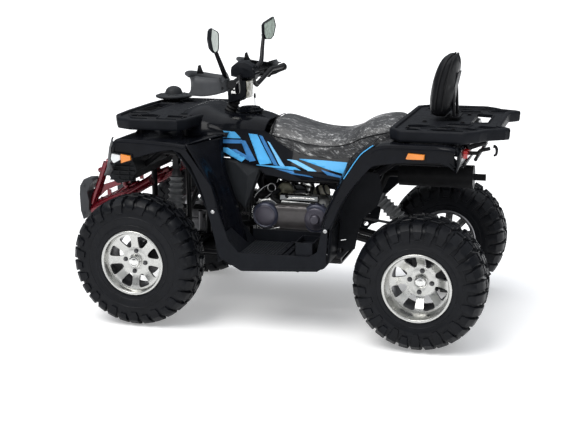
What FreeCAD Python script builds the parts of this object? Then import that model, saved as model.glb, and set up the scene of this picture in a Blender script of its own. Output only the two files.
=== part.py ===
import FreeCAD, Part
import math
import os
import PartDesign
import Sketcher
from types import SimpleNamespace

# A utility quad bike, in millimetres: X forward, Y to the left, Z up, with the
# origin on the ground below the middle of the machine.

SIZES = {
    # wheels
    "wheelbase": 1240,
    "rear_axle_x": -645,
    "front_tyre_radius": 288,
    "front_tyre_width": 182,
    "front_tyre_y": 416,
    "rear_tyre_radius": 275,
    "rear_tyre_width": 246,
    "rear_tyre_y": 400,
    "rim_radius": 127,
    "rim_lip_radius": 140,
    "rim_wall": 6,
    "rim_web": 8,
    "lug_depth": 13,
    "lug_length": 24,
    "lug_count": 24,
    "seat_gap": 0.3,
    "run_gap": 6,
    "hub_radius": 30,
    "hub_cap_radius": 24,
    "hub_cap_height": 12,
    "slot_count": 8,
    "slot_inner_width": 18,
    "slot_outer_width": 34,
    "slot_inner_reach": 66,
    "slot_outer_reach": 112,
    "slot_corner": 4,
    "front_dish": 38,
    "rear_dish": 107,
    # tube frame
    "frame_tube_radius": 14,
    "frame_post_radius": 12,
    "frame_cross_radius": 11,
    "frame_bend": 60,
    "rail_y": 125,
    "rail_low_z": 262,
    "rail_high_z": 715,
    "rail_seat_z": 615,
    "rail_rear_x": -245,
    "rail_front_x": 650,
    "nose_x": 745,
    "nose_low_z": 400,
    "nose_high_z": 600,
    "mid_rail_z": 400,
    "front_post_x": 470,
    "middle_post_x": 255,
    "tail_x": -770,
    "tail_kick_x": -480,
    "tail_post_x": -580,
    "outrigger_front_x": 90,
    "outrigger_rear_x": -120,
    "outrigger_z": 284,
    "outrigger_y": 400,
    "outrigger_post_y": 300,
    "mount_front_x": 110,
    "mount_rear_x": -70,
    "mount_y": 60,
    "mount_half": 15,
    "skid_thickness": 6,
    "skid_slot_length": 120,
    "skid_slot_width": 26,
    "skid_slot_pitch": 170,
    # front suspension
    "kingpin_y": 350,
    "ball_low_z": 213,
    "ball_high_z": 348,
    "kingpin_lean": 12,
    "kingpin_rake": 4,
    "arm_tube_radius": 11,
    "arm_low_rear_x": 427,
    "arm_low_front_x": 605,
    "arm_high_rear_x": 535,
    "arm_high_front_x": 655,
    "shock_x": 505,
    "shock_low_y": 235,
    "shock_low_z": 300,
    "shock_high_y": 175,
    "shock_high_z": 660,
    "coil_radius": 30,
    "coil_wire": 5,
    "coil_count": 9,
    "damper_radius": 18,
    "damper_rod_radius": 9,
    "eye_radius": 13,
    # steering
    "column_top_x": 250,
    "column_top_z": 1045,
    "column_foot_x": 555,
    "column_foot_z": 330,
    "column_radius": 13,
    "steer_arm": 62,
    "tie_rod_radius": 7,
    "tie_rod_inner_y": 18,
    "tie_rod_outer_y": 338,
    "tie_rod_outer_z": 306,
    "tie_rod_drop": 12,
    "bar_radius": 11,
    "bar_y": 385,
    "bar_sweep": 101,
    "bar_rise": 52,
    "bar_clamp_x": 262,
    "bar_clamp_z": 1012,
    "bar_bend": 40,
    "grip_radius": 18,
    "grip_length": 115,
    "clamp_wall": 6,
    "clamp_length": 22,
    # rear axle and swing arm
    "pivot_x": -230,
    "pivot_z": 370,
    "swing_tube_radius": 18,
    "swing_leg_radius": 16,
    "hitch_length": 75,
    "hitch_half": 26,
    "hitch_hole_radius": 8,
    "hitch_thickness": 6,
    "swing_y": 55,
    "axle_radius": 16,
    "carrier_radius": 40,
    "carrier_half": 78,
    "chain_y": -97,
    "chain_width": 14,
    "chain_depth": 9,
    "chain_gap": 0.8,
    "drive_x": -150,
    "drive_z": 390,
    "drive_radius": 27,
    "sprocket_radius": 78,
    "sprocket_thickness": 7,
    "sprocket_teeth": 36,
    "tooth_notch": 6.4,
    "disc_y": 103,
    "disc_radius": 88,
    "disc_thickness": 5,
    "holder_radius": 40,
    "rear_shock_top_x": -345,
    "rear_shock_top_z": 563,
    "rear_shock_foot_x": -530,
    "rear_shock_foot_z": 388,
    # engine unit
    "crank_x": 83,
    "crank_z": 473,
    "clutch_x": -120,
    "clutch_z": 478,
    "case_front_radius": 60,
    "case_rear_radius": 55,
    "case_half_width": 100,
    "case_wall_y": 150,
    "cover_depth": 50,
    "cover_boss": 12,
    "knob_radius": 21,
    "crankcase_low_z": 335,
    "crankcase_high_z": 545,
    "crankcase_front_x": 150,
    "gearbox_low_z": 350,
    "cylinder_length": 170,
    "cylinder_half": 58,
    "fin_count": 8,
    "fin_thickness": 5,
    "fin_reach": 12,
    "fin_pitch": 17,
    "fan_radius": 88,
    "fan_depth": 40,
    "airbox_length": 100,
    "airbox_half": 68,
    "airbox_low_z": 563,
    "airbox_high_z": 709,
    "carb_radius": 30,
    "carb_z": 598,
    "muffler_radius": 52,
    "muffler_x": -460,
    "muffler_length": 330,
    "muffler_y": -104,
    "muffler_z": 618,
    "hanger_x": -600,
    "pipe_radius": 15,
    # bodywork
    "skin": 6,
    "lip": 46,
    "small_corner": 3,
    "deck_corner": 12,
    "body_half_width": 440,
    "inner_guard_y": 190,
    "shield_inner_y": 288,
    "guard_x": 190,
    "guard_z": 380,
    "guard_length": 500,
    "guard_height": 430,
    "guard_corner": 8,
    "deck_z": 797,
    "deck_rear_x": 360,
    "deck_step_x": 392,
    "deck_step_y": 120,
    "rear_guard_x": -780,
    "rear_guard_z": 490,
    "rear_guard_length": 560,
    "rear_guard_height": 350,
    "rear_deck_z": 833,
    "rear_deck_front_x": -472,
    "cover_rear_x": 95,
    "cover_length": 610,
    "cover_z": 745,
    "cover_height": 190,
    "cover_half_width": 165,
    "cover_corner": 18,
    "column_hole": 30,
    "cap_x": 211,
    "cap_radius": 42,
    "cap_height": 18,
    "cap_sink": 6,
    "side_x": -370,
    "side_length": 690,
    "side_z": 640,
    "side_height": 240,
    "side_y": 272,
    "scoop_x": 138,
    "scoop_z": 597,
    "scoop_length": 130,
    "scoop_height": 120,
    "scoop_y": 236,
    "scoop_depth": 24,
    "scoop_corner": 10,
    "scoop_boss_z": 690,
    "seat_x": -496,
    "seat_length": 582,
    "seat_base_z": 742,
    "seat_height": 165,
    "seat_half_width": 178,
    "seat_corner": 22,
    "well_x": -215,
    "well_length": 490,
    "well_z": 297,
    "well_floor_z": 350,
    "well_floor_front_x": 143,
    "well_inner_y": 205,
    "well_band": 8,
    "well_wall_top_z": 400,
    "kick_length": 76,
    "kick_width": 88,
    "kick_height": 82,
    "tread_bar": 8,
    "tread_pitch": 38,
    "tread_count": 7,
    # racks
    "rack_z": 852,
    "rack_depth": 48,
    "rack_corner": 14,
    "rack_leg": 26,
    "front_rack_x": 360,
    "front_rack_length": 390,
    "front_rack_half": 380,
    "front_leg_rear_x": 385,
    "front_leg_front_x": 622,
    "front_leg_y": 205,
    "rack_well_half": 172,
    "rack_well_x": 600,
    "rear_rack_x": -971,
    "rear_rack_length": 471,
    "rear_rack_half": 402,
    "rear_rack_z": 852,
    "rear_leg_front_x": -540,
    "rear_leg_rear_x": -740,
    "rear_leg_y": 205,
    "dome_x": 684,
    "dome_y": -255,
    "dome_radius": 40,
    "dome_brim": 88,
    "dome_brim_height": 12,
    "dome_stalk": 14,
    # nose
    "nose_half": 300,
    "nose_low": 584,
    "nose_length": 150,
    "nose_side": 75,
    "nose_foot_width": 20,
    "nose_foot_depth": 26,
    "nose_foot_height": 45,
    "nose_plate_half": 230,
    "nose_setback": 14,
    "lamp_radius": 42,
    "lamp_y": 120,
    "lamp_z": 720,
    "lamp_depth": 60,
    # bumper
    "bumper_tube_radius": 14,
    "bumper_cross_radius": 12,
    "bumper_y": 200,
    "bumper_x": 620,
    "bumper_length": 300,
    "bumper_z": 440,
    "bumper_height": 225,
    "bumper_stay_radius": 10,
    "bumper_stay_y": 80,
    "cap_width": 70,
    "cap_length": 91,
    "cap_front": 45,
    "cap_drop": 49,
    # lamps
    "signal_length": 98,
    "signal_depth": 12,
    "front_signal_x": 605,
    "front_signal_z": 724,
    "front_signal_height": 35,
    "rear_signal_x": -657,
    "rear_signal_z": 784,
    "rear_signal_height": 32,
    "tail_lamp_depth": 24,
    "tail_lamp_y": 150,
    "tail_lamp_width": 130,
    "tail_lamp_z": 756,
    "tail_lamp_height": 50,
    # backrest and grab bar
    "pad_foot_x": -675,
    "pad_foot_z": 906,
    "pad_thickness": 88,
    "pad_half": 118,
    "pad_height": 265,
    "bracket_length": 62,
    "bracket_half": 70,
    "bracket_post_y": 53,
    "grab_reach": 88,
    "grab_drop": 40,
    # handlebar fittings
    "guard_plate_low_z": 994,
    "guard_plate_height": 72,
    "guard_knee_y": 348,
    "guard_outer_y": 393,
    "guard_front_x": 368,
    "guard_rear_x": 298,
    "switch_radius": 21,
    "lever_radius": 4,
    "lever_reach": 54,
    "pod_length": 112,
    "pod_rear_x": 180,
    "pod_half": 70,
    "pod_height": 70,
    "pod_corner": 12,
    "mirror_z": 1255,
    "mirror_half_width": 60,
    "mirror_height": 76,
    "mirror_depth": 18,
}


class Size:
    """A length of the sheet: its value now, and the formula that binds other objects to it."""

    def __init__(self, value, formula):
        self.value = value
        self.formula = formula

    def __float__(self):
        return self.value

    def __int__(self):
        return int(self.value)

    def __lt__(self, other):
        return self.value < float(other)

    def __gt__(self, other):
        return self.value > float(other)

    def __neg__(self):
        return Size(-self.value, "(-%s)" % self.formula)

    def __add__(self, other):
        return Size(self.value + float(other), "(%s + %s)" % (self.formula, formula(other)))

    def __radd__(self, other):
        return Size(float(other) + self.value, "(%s + %s)" % (formula(other), self.formula))

    def __sub__(self, other):
        return Size(self.value - float(other), "(%s - %s)" % (self.formula, formula(other)))

    def __rsub__(self, other):
        return Size(float(other) - self.value, "(%s - %s)" % (formula(other), self.formula))

    def __mul__(self, other):
        return Size(self.value * float(other), "(%s * %s)" % (self.formula, formula(other)))

    def __rmul__(self, other):
        return Size(float(other) * self.value, "(%s * %s)" % (formula(other), self.formula))

    def __truediv__(self, other):
        return Size(self.value / float(other), "(%s / %s)" % (self.formula, formula(other)))


def formula(size):
    return size.formula if isinstance(size, Size) else repr(float(size))


def write_sheet(document):
    """Put every driving dimension in the sheet, one aliased cell each."""
    cells = document.addObject("Spreadsheet::Sheet", "sizes")
    for row, (name, value) in enumerate(SIZES.items(), start=1):
        cells.set("A%d" % row, name)
        cells.set("B%d" % row, str(value))
        cells.setAlias("B%d" % row, name)
    document.recompute()
    return cells


doc = FreeCAD.newDocument("quad_bike")
sheet = write_sheet(doc)
s = SimpleNamespace(**{name: Size(float(sheet.get(name)), "sizes." + name) for name in SIZES})
NODES = []
OVERRUN = s.skin
TURN = 360
X_AXIS = FreeCAD.Vector(1, 0, 0)
Y_AXIS = FreeCAD.Vector(0, 1, 0)
Z_AXIS = FreeCAD.Vector(0, 0, 1)
ORIGIN = FreeCAD.Vector(0, 0, 0)
SIDES = (-1, 1)


def vec(x, y, z):
    return FreeCAD.Vector(x, y, z)


# objects of the document

def node(label, item):
    """Name one sub-part and put it on the list that is written."""
    item.Label = label
    NODES.append(item)
    return item


def feature(label, shape):
    """A sub-part whose shape Part's own functions make, such as bent tube."""
    item = doc.addObject("Part::Feature", label)
    item.Shape = shape
    item.Placement = FreeCAD.Placement()
    return node(label, item)


def bind(item, sizes):
    for name, size in sizes.items():
        if isinstance(size, Size):
            item.setExpression(name, size.formula)


def bind_place(item, x, y, z):
    bind(item, {"Placement.Base.x": x, "Placement.Base.y": y, "Placement.Base.z": z})


def box(low, high):
    """A box between two corners, bound to their sizes."""
    item = doc.addObject("Part::Box", "box")
    bind(item, {"Length": high[0] - low[0], "Width": high[1] - low[1], "Height": high[2] - low[2]})
    bind_place(item, *low)
    return item


def cylinder(foot, axis, radius, height):
    item = doc.addObject("Part::Cylinder", "cylinder")
    item.Placement = FreeCAD.Placement(ORIGIN, FreeCAD.Rotation(Z_AXIS, axis))
    bind(item, {"Radius": radius, "Height": height})
    bind_place(item, *foot)
    return item


def bar_across(x, y, z, half, radius):
    """A round bar along Y, centred on y."""
    return cylinder((x, y - half, z), Y_AXIS, radius, half * 2)


def joined(items):
    item = doc.addObject("Part::MultiFuse", "joined")
    item.Shapes = items
    item.Refine = True
    return item


def cut_by(base, tool):
    item = doc.addObject("Part::Cut", "cut")
    item.Base = base
    item.Tool = tool
    return item


def mirror_of(source):
    """The same piece on the other side of the machine, bound to its source."""
    item = doc.addObject("Part::Mirroring", "mirror")
    item.Source = source
    item.Normal = Y_AXIS
    return item


def both(source):
    """One sub-part that holds a piece and its mirror image."""
    item = doc.addObject("Part::Compound", "both")
    item.Links = [source, mirror_of(source)]
    return item


# sketches and the features made from them

def sketch(body, role, x=0, y=0, z=0):
    """A sketch on one of the body's own planes, with its origin moved to a place of the part."""
    item = body.newObject("Sketcher::SketchObject", "sketch")
    plane = next(entry for entry in body.Origin.OriginFeatures if entry.Role == role)
    item.AttachmentSupport = (plane, [""])
    item.MapMode = "FlatFace"
    right, up, out = {"XY_Plane": (x, y, z), "XZ_Plane": (x, z, -y), "YZ_Plane": (y, z, x)}[role]
    bind(item, {"AttachmentOffset.Base.x": right, "AttachmentOffset.Base.y": up,
                "AttachmentOffset.Base.z": out})
    return item


def bind_point(item, geometry, end, place):
    for kind, size in zip(("DistanceX", "DistanceY"), place):
        index = item.addConstraint(Sketcher.Constraint(kind, -1, 1, geometry, end, float(size)))
        bind(item, {"Constraints[%d]" % index: size})


def circle(item, u, v, radius):
    ring = item.addGeometry(Part.Circle(vec(u, v, 0), Z_AXIS, float(radius)))
    index = item.addConstraint(Sketcher.Constraint("Radius", ring, float(radius)))
    bind(item, {"Constraints[%d]" % index: radius})
    bind_point(item, ring, 3, (u, v))


def outline(item, points):
    """A closed line with sharp corners, each bound to its sizes."""
    corners = [vec(u, v, 0) for u, v in points]
    lines = [item.addGeometry(Part.LineSegment(here, there))
             for here, there in zip(corners, corners[1:] + corners[:1])]
    for here, there, place in zip(lines, lines[1:] + lines[:1], points[1:] + points[:1]):
        item.addConstraint(Sketcher.Constraint("Coincident", here, 2, there, 1))
        bind_point(item, there, 1, place)


def rounded_outline(item, points, radius):
    """A closed line whose corners, each bound to its sizes, are rounded to one radius."""
    corners = [vec(u, v, 0) for u, v in points]
    count = len(corners)
    bends = []
    for i in range(count):
        bends.append(round_corner(corners[i - 1], corners[i], corners[(i + 1) % count], float(radius)))
    lines = [item.addGeometry(Part.LineSegment(bends[i - 1][2], bends[i][0])) for i in range(count)]
    for i, (start, curve, end, first, last) in enumerate(bends):
        before, after = lines[i], lines[(i + 1) % count]
        bend = item.addGeometry(curve)
        item.addConstraint(Sketcher.Constraint("Tangent", before, 2, bend, first))
        item.addConstraint(Sketcher.Constraint("Tangent", bend, last, after, 1))
        index = item.addConstraint(Sketcher.Constraint("Radius", bend, float(radius)))
        bind(item, {"Constraints[%d]" % index: radius})
        corner = item.addGeometry(Part.Point(corners[i]), True)
        bind_point(item, corner, 1, points[i])
        item.addConstraint(Sketcher.Constraint("PointOnObject", corner, 1, before))
        item.addConstraint(Sketcher.Constraint("PointOnObject", corner, 1, after))


def round_corner(before, corner, after, radius):
    """Where a rounded corner starts and ends, its arc, and which ends of the arc meet them."""
    back = (before - corner).normalize()
    ahead = (after - corner).normalize()
    half = back.getAngle(ahead) / 2
    start = corner + back * (radius / math.tan(half))
    end = corner + ahead * (radius / math.tan(half))
    centre = corner + (back + ahead).normalize() * (radius / math.sin(half))
    angles = [math.atan2(end_point.y - centre.y, end_point.x - centre.x) for end_point in (start, end)]
    left_turn = back.cross(ahead).z < 0
    ring = Part.Circle(centre, Z_AXIS, radius)
    if left_turn:
        return start, Part.ArcOfCircle(ring, *angles), end, 1, 2
    return start, Part.ArcOfCircle(ring, *angles[::-1]), end, 2, 1


def pad(body, profile, length):
    """Thicken a profile along its own normal."""
    item = body.newObject("PartDesign::Pad", "pad")
    item.Profile = profile
    bind(item, {"Length": length})
    return item


def pocket(body, profile, length):
    """Cut a profile against its own normal."""
    item = body.newObject("PartDesign::Pocket", "pocket")
    item.Profile = profile
    bind(item, {"Length": length})
    return item


def revolve(body, profile):
    """Turn a profile about its sketch's own horizontal axis."""
    item = body.newObject("PartDesign::Revolution", "revolution")
    item.Profile = profile
    item.ReferenceAxis = (profile, ["H_Axis"])
    item.Angle = TURN
    return item


def around(body, original, profile, count):
    """Repeat a feature all the way round a sketch's horizontal axis."""
    item = body.newObject("PartDesign::PolarPattern", "pattern")
    item.Originals = [original]
    item.Axis = (profile, ["H_Axis"])
    item.Angle = TURN
    bind(item, {"Occurrences": count})
    body.Tip = item
    return item


def along(body, original, profile, axis, pitch, count):
    """Repeat a feature along an axis of its sketch, one pitch apart."""
    item = body.newObject("PartDesign::LinearPattern", "row")
    item.Originals = [original]
    item.Direction = (profile, [axis])
    bind(item, {"Length": pitch * (count - 1), "Occurrences": count})
    body.Tip = item
    return item


def mirror_features(body, originals):
    """Repeat features on the other side of the machine."""
    item = body.newObject("PartDesign::Mirrored", "mirrored")
    item.Originals = originals
    plane = next(entry for entry in body.Origin.OriginFeatures if entry.Role == "XZ_Plane")
    item.MirrorPlane = (plane, [""])
    body.Tip = item
    return item


def new_body(label):
    return doc.addObject("PartDesign::Body", label)


def lofted(label, sections):
    """A body through cross sections: each an X, a list of (y, z) corners and a corner radius or None."""
    body = new_body(label)
    profiles = []
    for x, corners, radius in sections:
        profile = sketch(body, "YZ_Plane", x=x)
        if radius is None:
            outline(profile, corners)
        else:
            rounded_outline(profile, corners, radius)
        profiles.append(profile)
    item = body.newObject("PartDesign::AdditiveLoft", "loft")
    item.Profile = profiles[0]
    item.Sections = profiles[1:]
    item.Ruled = True
    return body


def upright(body, levels, step):
    """A bent wall through level sections: each a height with its outer and its inner (x, y) end."""
    profiles = []
    for z, (outer_x, outer_y), (inner_x, inner_y) in levels:
        profile = sketch(body, "XY_Plane", z=z)
        outline(profile, [(outer_x, outer_y), (inner_x, inner_y), (inner_x + step, inner_y),
                          (outer_x + step, outer_y)])
        profiles.append(profile)
    item = body.newObject("PartDesign::AdditiveLoft", "wall")
    item.Profile = profiles[0]
    item.Sections = profiles[1:]
    item.Ruled = True
    return item


def placed(shares, corner, size):
    """Turn a table of shares into places within a box of two sides."""
    return [(corner[0] + size[0] * u, corner[1] + size[1] * v) for u, v in shares]


def band(points, right, up):
    """The strip between an open line and the same line moved by (right, up)."""
    return points + [(u + right, v + up) for u, v in points[::-1]]


# solids that Part's own functions make: bent tube and struts between any two points

def rod(start, end, radius):
    run = end - start
    return Part.makeCylinder(radius, run.Length, start, run)


def block(low, high):
    span = high - low
    return Part.makeBox(span.x, span.y, span.z, low)


def across(x, y, z, half, radius):
    return rod(vec(x, y - half, z), vec(x, y + half, z), radius)


def mirrored(shape):
    return shape.mirror(ORIGIN, Y_AXIS)


def pair(shape):
    return Part.makeCompound([shape, mirrored(shape)])


def fuse(shapes):
    first, *others = shapes
    return first.fuse(others).removeSplitter()


def weld(shapes):
    """Join tubes one after another, which is steadier than all at once where many meet."""
    welded = shapes[0]
    for shape in shapes[1:]:
        welded = welded.fuse(shape)
    return welded


def bend_arc(before, corner, after, radius):
    """The arc that rounds a corner of a tube, with the two points where it starts and ends."""
    back = before - corner
    ahead = after - corner
    run_share = 0.45
    room = run_share * min(back.Length, ahead.Length)
    back.normalize()
    ahead.normalize()
    half = back.getAngle(ahead) / 2
    reach = min(radius / math.tan(half), room)
    fitted = reach * math.tan(half)
    start = corner + back * reach
    end = corner + ahead * reach
    middle = corner + (back + ahead).normalize() * (fitted / math.sin(half) - fitted)
    return start, Part.Arc(start, middle, end).toShape(), end


def tube(points, radius, bend):
    """Sweep a round bar along straight runs joined by tangent arcs."""
    edges = []
    start = points[0]
    for before, corner, after in zip(points, points[1:], points[2:]):
        arc_start, arc, arc_end = bend_arc(before, corner, after, float(bend))
        edges += [Part.makeLine(start, arc_start), arc]
        start = arc_end
    edges.append(Part.makeLine(start, points[-1]))
    ring = Part.Wire(Part.makeCircle(radius, points[0], points[1] - points[0]))
    return Part.Wire(edges).makePipeShell([ring], True, False)


front_axle_x = s.rear_axle_x + s.wheelbase
front_axle_z = s.front_tyre_radius
rear_axle_z = s.rear_tyre_radius
rail_bottom_z = s.rail_low_z - s.frame_tube_radius
rail_side_y = s.rail_y + s.frame_tube_radius


# tyres and rims

BEAD_share = 0.86
BULGE_share = 0.42
TREAD_share = 0.8
TYRE_SECTION_shares = [(BEAD_share, 0.0), (1.0, BULGE_share), (TREAD_share, 1.0), (-TREAD_share, 1.0),
                       (-1.0, BULGE_share), (-BEAD_share, 0.0)]


def tyre(label, wheel, radius, width):
    """A carcass turned about its axle, with a ring of bars across the tread."""
    x, y, z = wheel
    carcass = radius - s.lug_depth
    bead = s.rim_radius + s.seat_gap
    body = new_body(label)
    profile = sketch(body, "YZ_Plane", x=x, y=y, z=z)
    outline(profile, placed(TYRE_SECTION_shares, (0, bead), (width / 2, carcass - bead)))
    revolve(body, profile)
    tread_half = width / 2 * TREAD_share
    bar = sketch(body, "XZ_Plane", x=x, y=y + tread_half, z=z)
    outline(bar, [(-s.lug_length / 2, carcass - s.lug_depth), (s.lug_length / 2, carcass - s.lug_depth),
                  (s.lug_length / 2, radius), (-s.lug_length / 2, radius)])
    around(body, pad(body, bar, tread_half * 2), profile, s.lug_count)
    return body


def lip_half_width(radius, width):
    """Half the width between a rim's lips, where the tyre's side meets the lip's edge."""
    side_height = (radius - s.lug_depth - s.rim_radius) * BULGE_share
    climb = (s.rim_lip_radius - s.rim_radius) / side_height
    return width / 2 * (climb * (1 - BEAD_share) + BEAD_share)


def rim(label, wheel, lip_half, face):
    """A one-piece alloy rim: a barrel with two lips, a slotted web and a hub with a plain cap."""
    x, y, z = wheel
    body = new_body(label)
    profile = sketch(body, "YZ_Plane", x=x, y=y, z=z)
    barrel = s.rim_radius - s.rim_wall
    seat = lip_half + s.seat_gap
    edge = lip_half + s.rim_wall
    back = face - s.rim_web
    hub_y = face + s.hub_cap_height
    cap_y = hub_y + s.hub_cap_height
    outline(profile, [(back, 0), (cap_y, 0), (cap_y, s.hub_cap_radius), (hub_y, s.hub_cap_radius),
                      (hub_y, s.hub_radius), (face, s.hub_radius), (face, barrel), (edge, barrel),
                      (edge, s.rim_lip_radius), (seat, s.rim_lip_radius), (seat, s.rim_radius),
                      (-seat, s.rim_radius), (-seat, s.rim_lip_radius), (-edge, s.rim_lip_radius),
                      (-edge, barrel), (back, barrel)])
    revolve(body, profile)
    slot = sketch(body, "XZ_Plane", x=x, y=y + back - OVERRUN, z=z)
    rounded_outline(slot, [(-s.slot_inner_width / 2, s.slot_inner_reach), (s.slot_inner_width / 2,
                                                                           s.slot_inner_reach),
                           (s.slot_outer_width / 2, s.slot_outer_reach),
                           (-s.slot_outer_width / 2, s.slot_outer_reach)], s.slot_corner)
    around(body, pocket(body, slot, s.rim_web + OVERRUN * 2), profile, s.slot_count)
    return body


front_lip_half = lip_half_width(s.front_tyre_radius, s.front_tyre_width)
rear_lip_half = lip_half_width(s.rear_tyre_radius, s.rear_tyre_width)
front_face = front_lip_half - s.front_dish
rear_face = rear_lip_half - s.rear_dish
front_face_y = s.front_tyre_y + front_face
rear_face_y = s.rear_tyre_y + rear_face
front_wheel = (front_axle_x, s.front_tyre_y, front_axle_z)
rear_wheel = (s.rear_axle_x, s.rear_tyre_y, rear_axle_z)
front_tyre = node("tyre_front_left", tyre("front_tyre", front_wheel, s.front_tyre_radius,
                                          s.front_tyre_width))
node("tyre_front_right", mirror_of(front_tyre))
front_rim = node("rim_front_left", rim("front_rim", front_wheel, front_lip_half, front_face))
node("rim_front_right", mirror_of(front_rim))
node("rear_tyres", both(tyre("rear_tyre", rear_wheel, s.rear_tyre_radius, s.rear_tyre_width)))
node("rear_rims", both(rim("rear_rim", rear_wheel, rear_lip_half, rear_face)))


# rear axle, swing arm and chain

def sprocket():
    """A toothed disc: a round plate with a notch cut between each two teeth."""
    body = new_body("sprocket")
    plate = sketch(body, "XZ_Plane", x=s.rear_axle_x, y=s.chain_y + s.sprocket_thickness / 2, z=rear_axle_z)
    circle(plate, 0, 0, s.sprocket_radius)
    pad(body, plate, s.sprocket_thickness)
    axle_line = sketch(body, "YZ_Plane", x=s.rear_axle_x, y=s.chain_y, z=rear_axle_z)
    notch = sketch(body, "XZ_Plane", x=s.rear_axle_x, y=s.chain_y - s.sprocket_thickness, z=rear_axle_z)
    circle(notch, 0, s.sprocket_radius, s.tooth_notch)
    around(body, pocket(body, notch, s.sprocket_thickness * 2), axle_line, s.sprocket_teeth)
    return body


def rear_axle():
    """One live axle with its wheel hubs, brake disc and sprocket."""
    half = rear_face_y - s.rim_web - s.seat_gap
    parts = [bar_across(s.rear_axle_x, 0, rear_axle_z, half, s.axle_radius), sprocket()]
    for end in (-half, half - s.hub_radius):
        parts.append(cylinder((s.rear_axle_x, end, rear_axle_z), Y_AXIS, s.hub_radius, s.hub_radius))
    parts.append(bar_across(s.rear_axle_x, s.disc_y, rear_axle_z, s.disc_thickness / 2, s.disc_radius))
    for inner in (s.disc_y, s.chain_y - s.hub_radius):
        parts.append(cylinder((s.rear_axle_x, inner, rear_axle_z), Y_AXIS, s.holder_radius, s.hub_radius))
    return joined(parts)


node("rear_axle", rear_axle())

ear_y = s.eye_radius + s.seat_gap
ear_far_y = ear_y + s.skin


def swing_arm():
    """Two legs from a pivot tube to the axle carrier, with the damper's ears and a hitch plate."""
    axle = vec(s.rear_axle_x, 0, rear_axle_z)
    parts = [across(s.pivot_x, 0, s.pivot_z, s.rail_y - s.frame_tube_radius - s.seat_gap,
                    s.swing_tube_radius)]
    for side in SIDES:
        leg = Y_AXIS * float(s.swing_y) * side
        parts.append(rod(vec(s.pivot_x, 0, s.pivot_z) + leg, axle + leg, s.swing_leg_radius))
    parts.append(across(axle.x, 0, axle.z, s.carrier_half, s.carrier_radius))
    along_leg_share = (s.pivot_x - s.rear_shock_foot_x).value / (s.pivot_x - s.rear_axle_x).value
    bridge_z = s.pivot_z + (rear_axle_z - s.pivot_z) * along_leg_share
    parts.append(across(s.rear_shock_foot_x, 0, bridge_z, s.swing_y, s.eye_radius))
    for low_y, high_y in ((-ear_far_y, -ear_y), (ear_y, ear_far_y)):
        parts.append(block(vec(s.rear_shock_foot_x - s.eye_radius, low_y, bridge_z),
                           vec(s.rear_shock_foot_x + s.eye_radius, high_y,
                               s.rear_shock_foot_z + s.eye_radius)))
    plate_rear_x = s.rear_axle_x - s.carrier_radius - s.hitch_length
    parts.append(block(vec(plate_rear_x, -s.hitch_half, rear_axle_z - s.hitch_thickness / 2),
                       vec(s.rear_axle_x - s.carrier_radius / 2, s.hitch_half,
                           rear_axle_z + s.hitch_thickness / 2)))
    hole_foot = vec(plate_rear_x + s.hitch_length / 2, 0, rear_axle_z - s.hitch_thickness)
    hole = Part.makeCylinder(s.hitch_hole_radius, s.hitch_thickness * 2, hole_foot, Z_AXIS)
    bore = across(axle.x, 0, axle.z, s.carrier_half, s.axle_radius + s.seat_gap * 2)
    return weld(parts).cut([bore, hole])


feature("swing_arm", swing_arm())


def chain_loop():
    """A closed roller chain round both sprockets, as one flat band with its own thickness."""
    near = vec(s.drive_x, 0, s.drive_z)
    far = vec(s.rear_axle_x, 0, rear_axle_z)
    run = far - near
    base = math.atan2(run.z, run.x)

    def loop(clearance):
        first = float(s.drive_radius + clearance)
        second = float(s.sprocket_radius + clearance)
        lean = math.asin((second - first) / run.Length)
        up = base - math.pi / 2 - lean
        down = base + math.pi / 2 + lean

        def at(centre, radius, angle):
            return vec(centre.x + radius * math.cos(angle), s.chain_y - s.chain_width / 2,
                       centre.z + radius * math.sin(angle))

        a, b = at(near, first, up), at(far, second, up)
        c, d = at(far, second, down), at(near, first, down)
        far_arc = Part.Arc(b, at(far, second, base), c).toShape()
        near_arc = Part.Arc(d, at(near, first, base + math.pi), a).toShape()
        return Part.Face(Part.Wire([Part.makeLine(a, b), far_arc, Part.makeLine(c, d), near_arc]))

    ring = loop(s.chain_gap + s.chain_depth).cut(loop(s.chain_gap))
    return ring.extrude(vec(0, s.chain_width, 0))


feature("drive_chain", chain_loop())


# frame

deck_underside_z = s.deck_z - s.skin - s.seat_gap
tail_underside_z = s.rear_deck_z - s.skin - s.seat_gap
seat_underside_z = s.seat_base_z - s.seat_gap
well_underside_z = s.well_floor_z - s.skin - s.seat_gap


def both_sides(points, radius, bend):
    return [tube([vec(x, y * side, z) for x, y, z in points], radius, bend) for side in SIDES]


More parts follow.
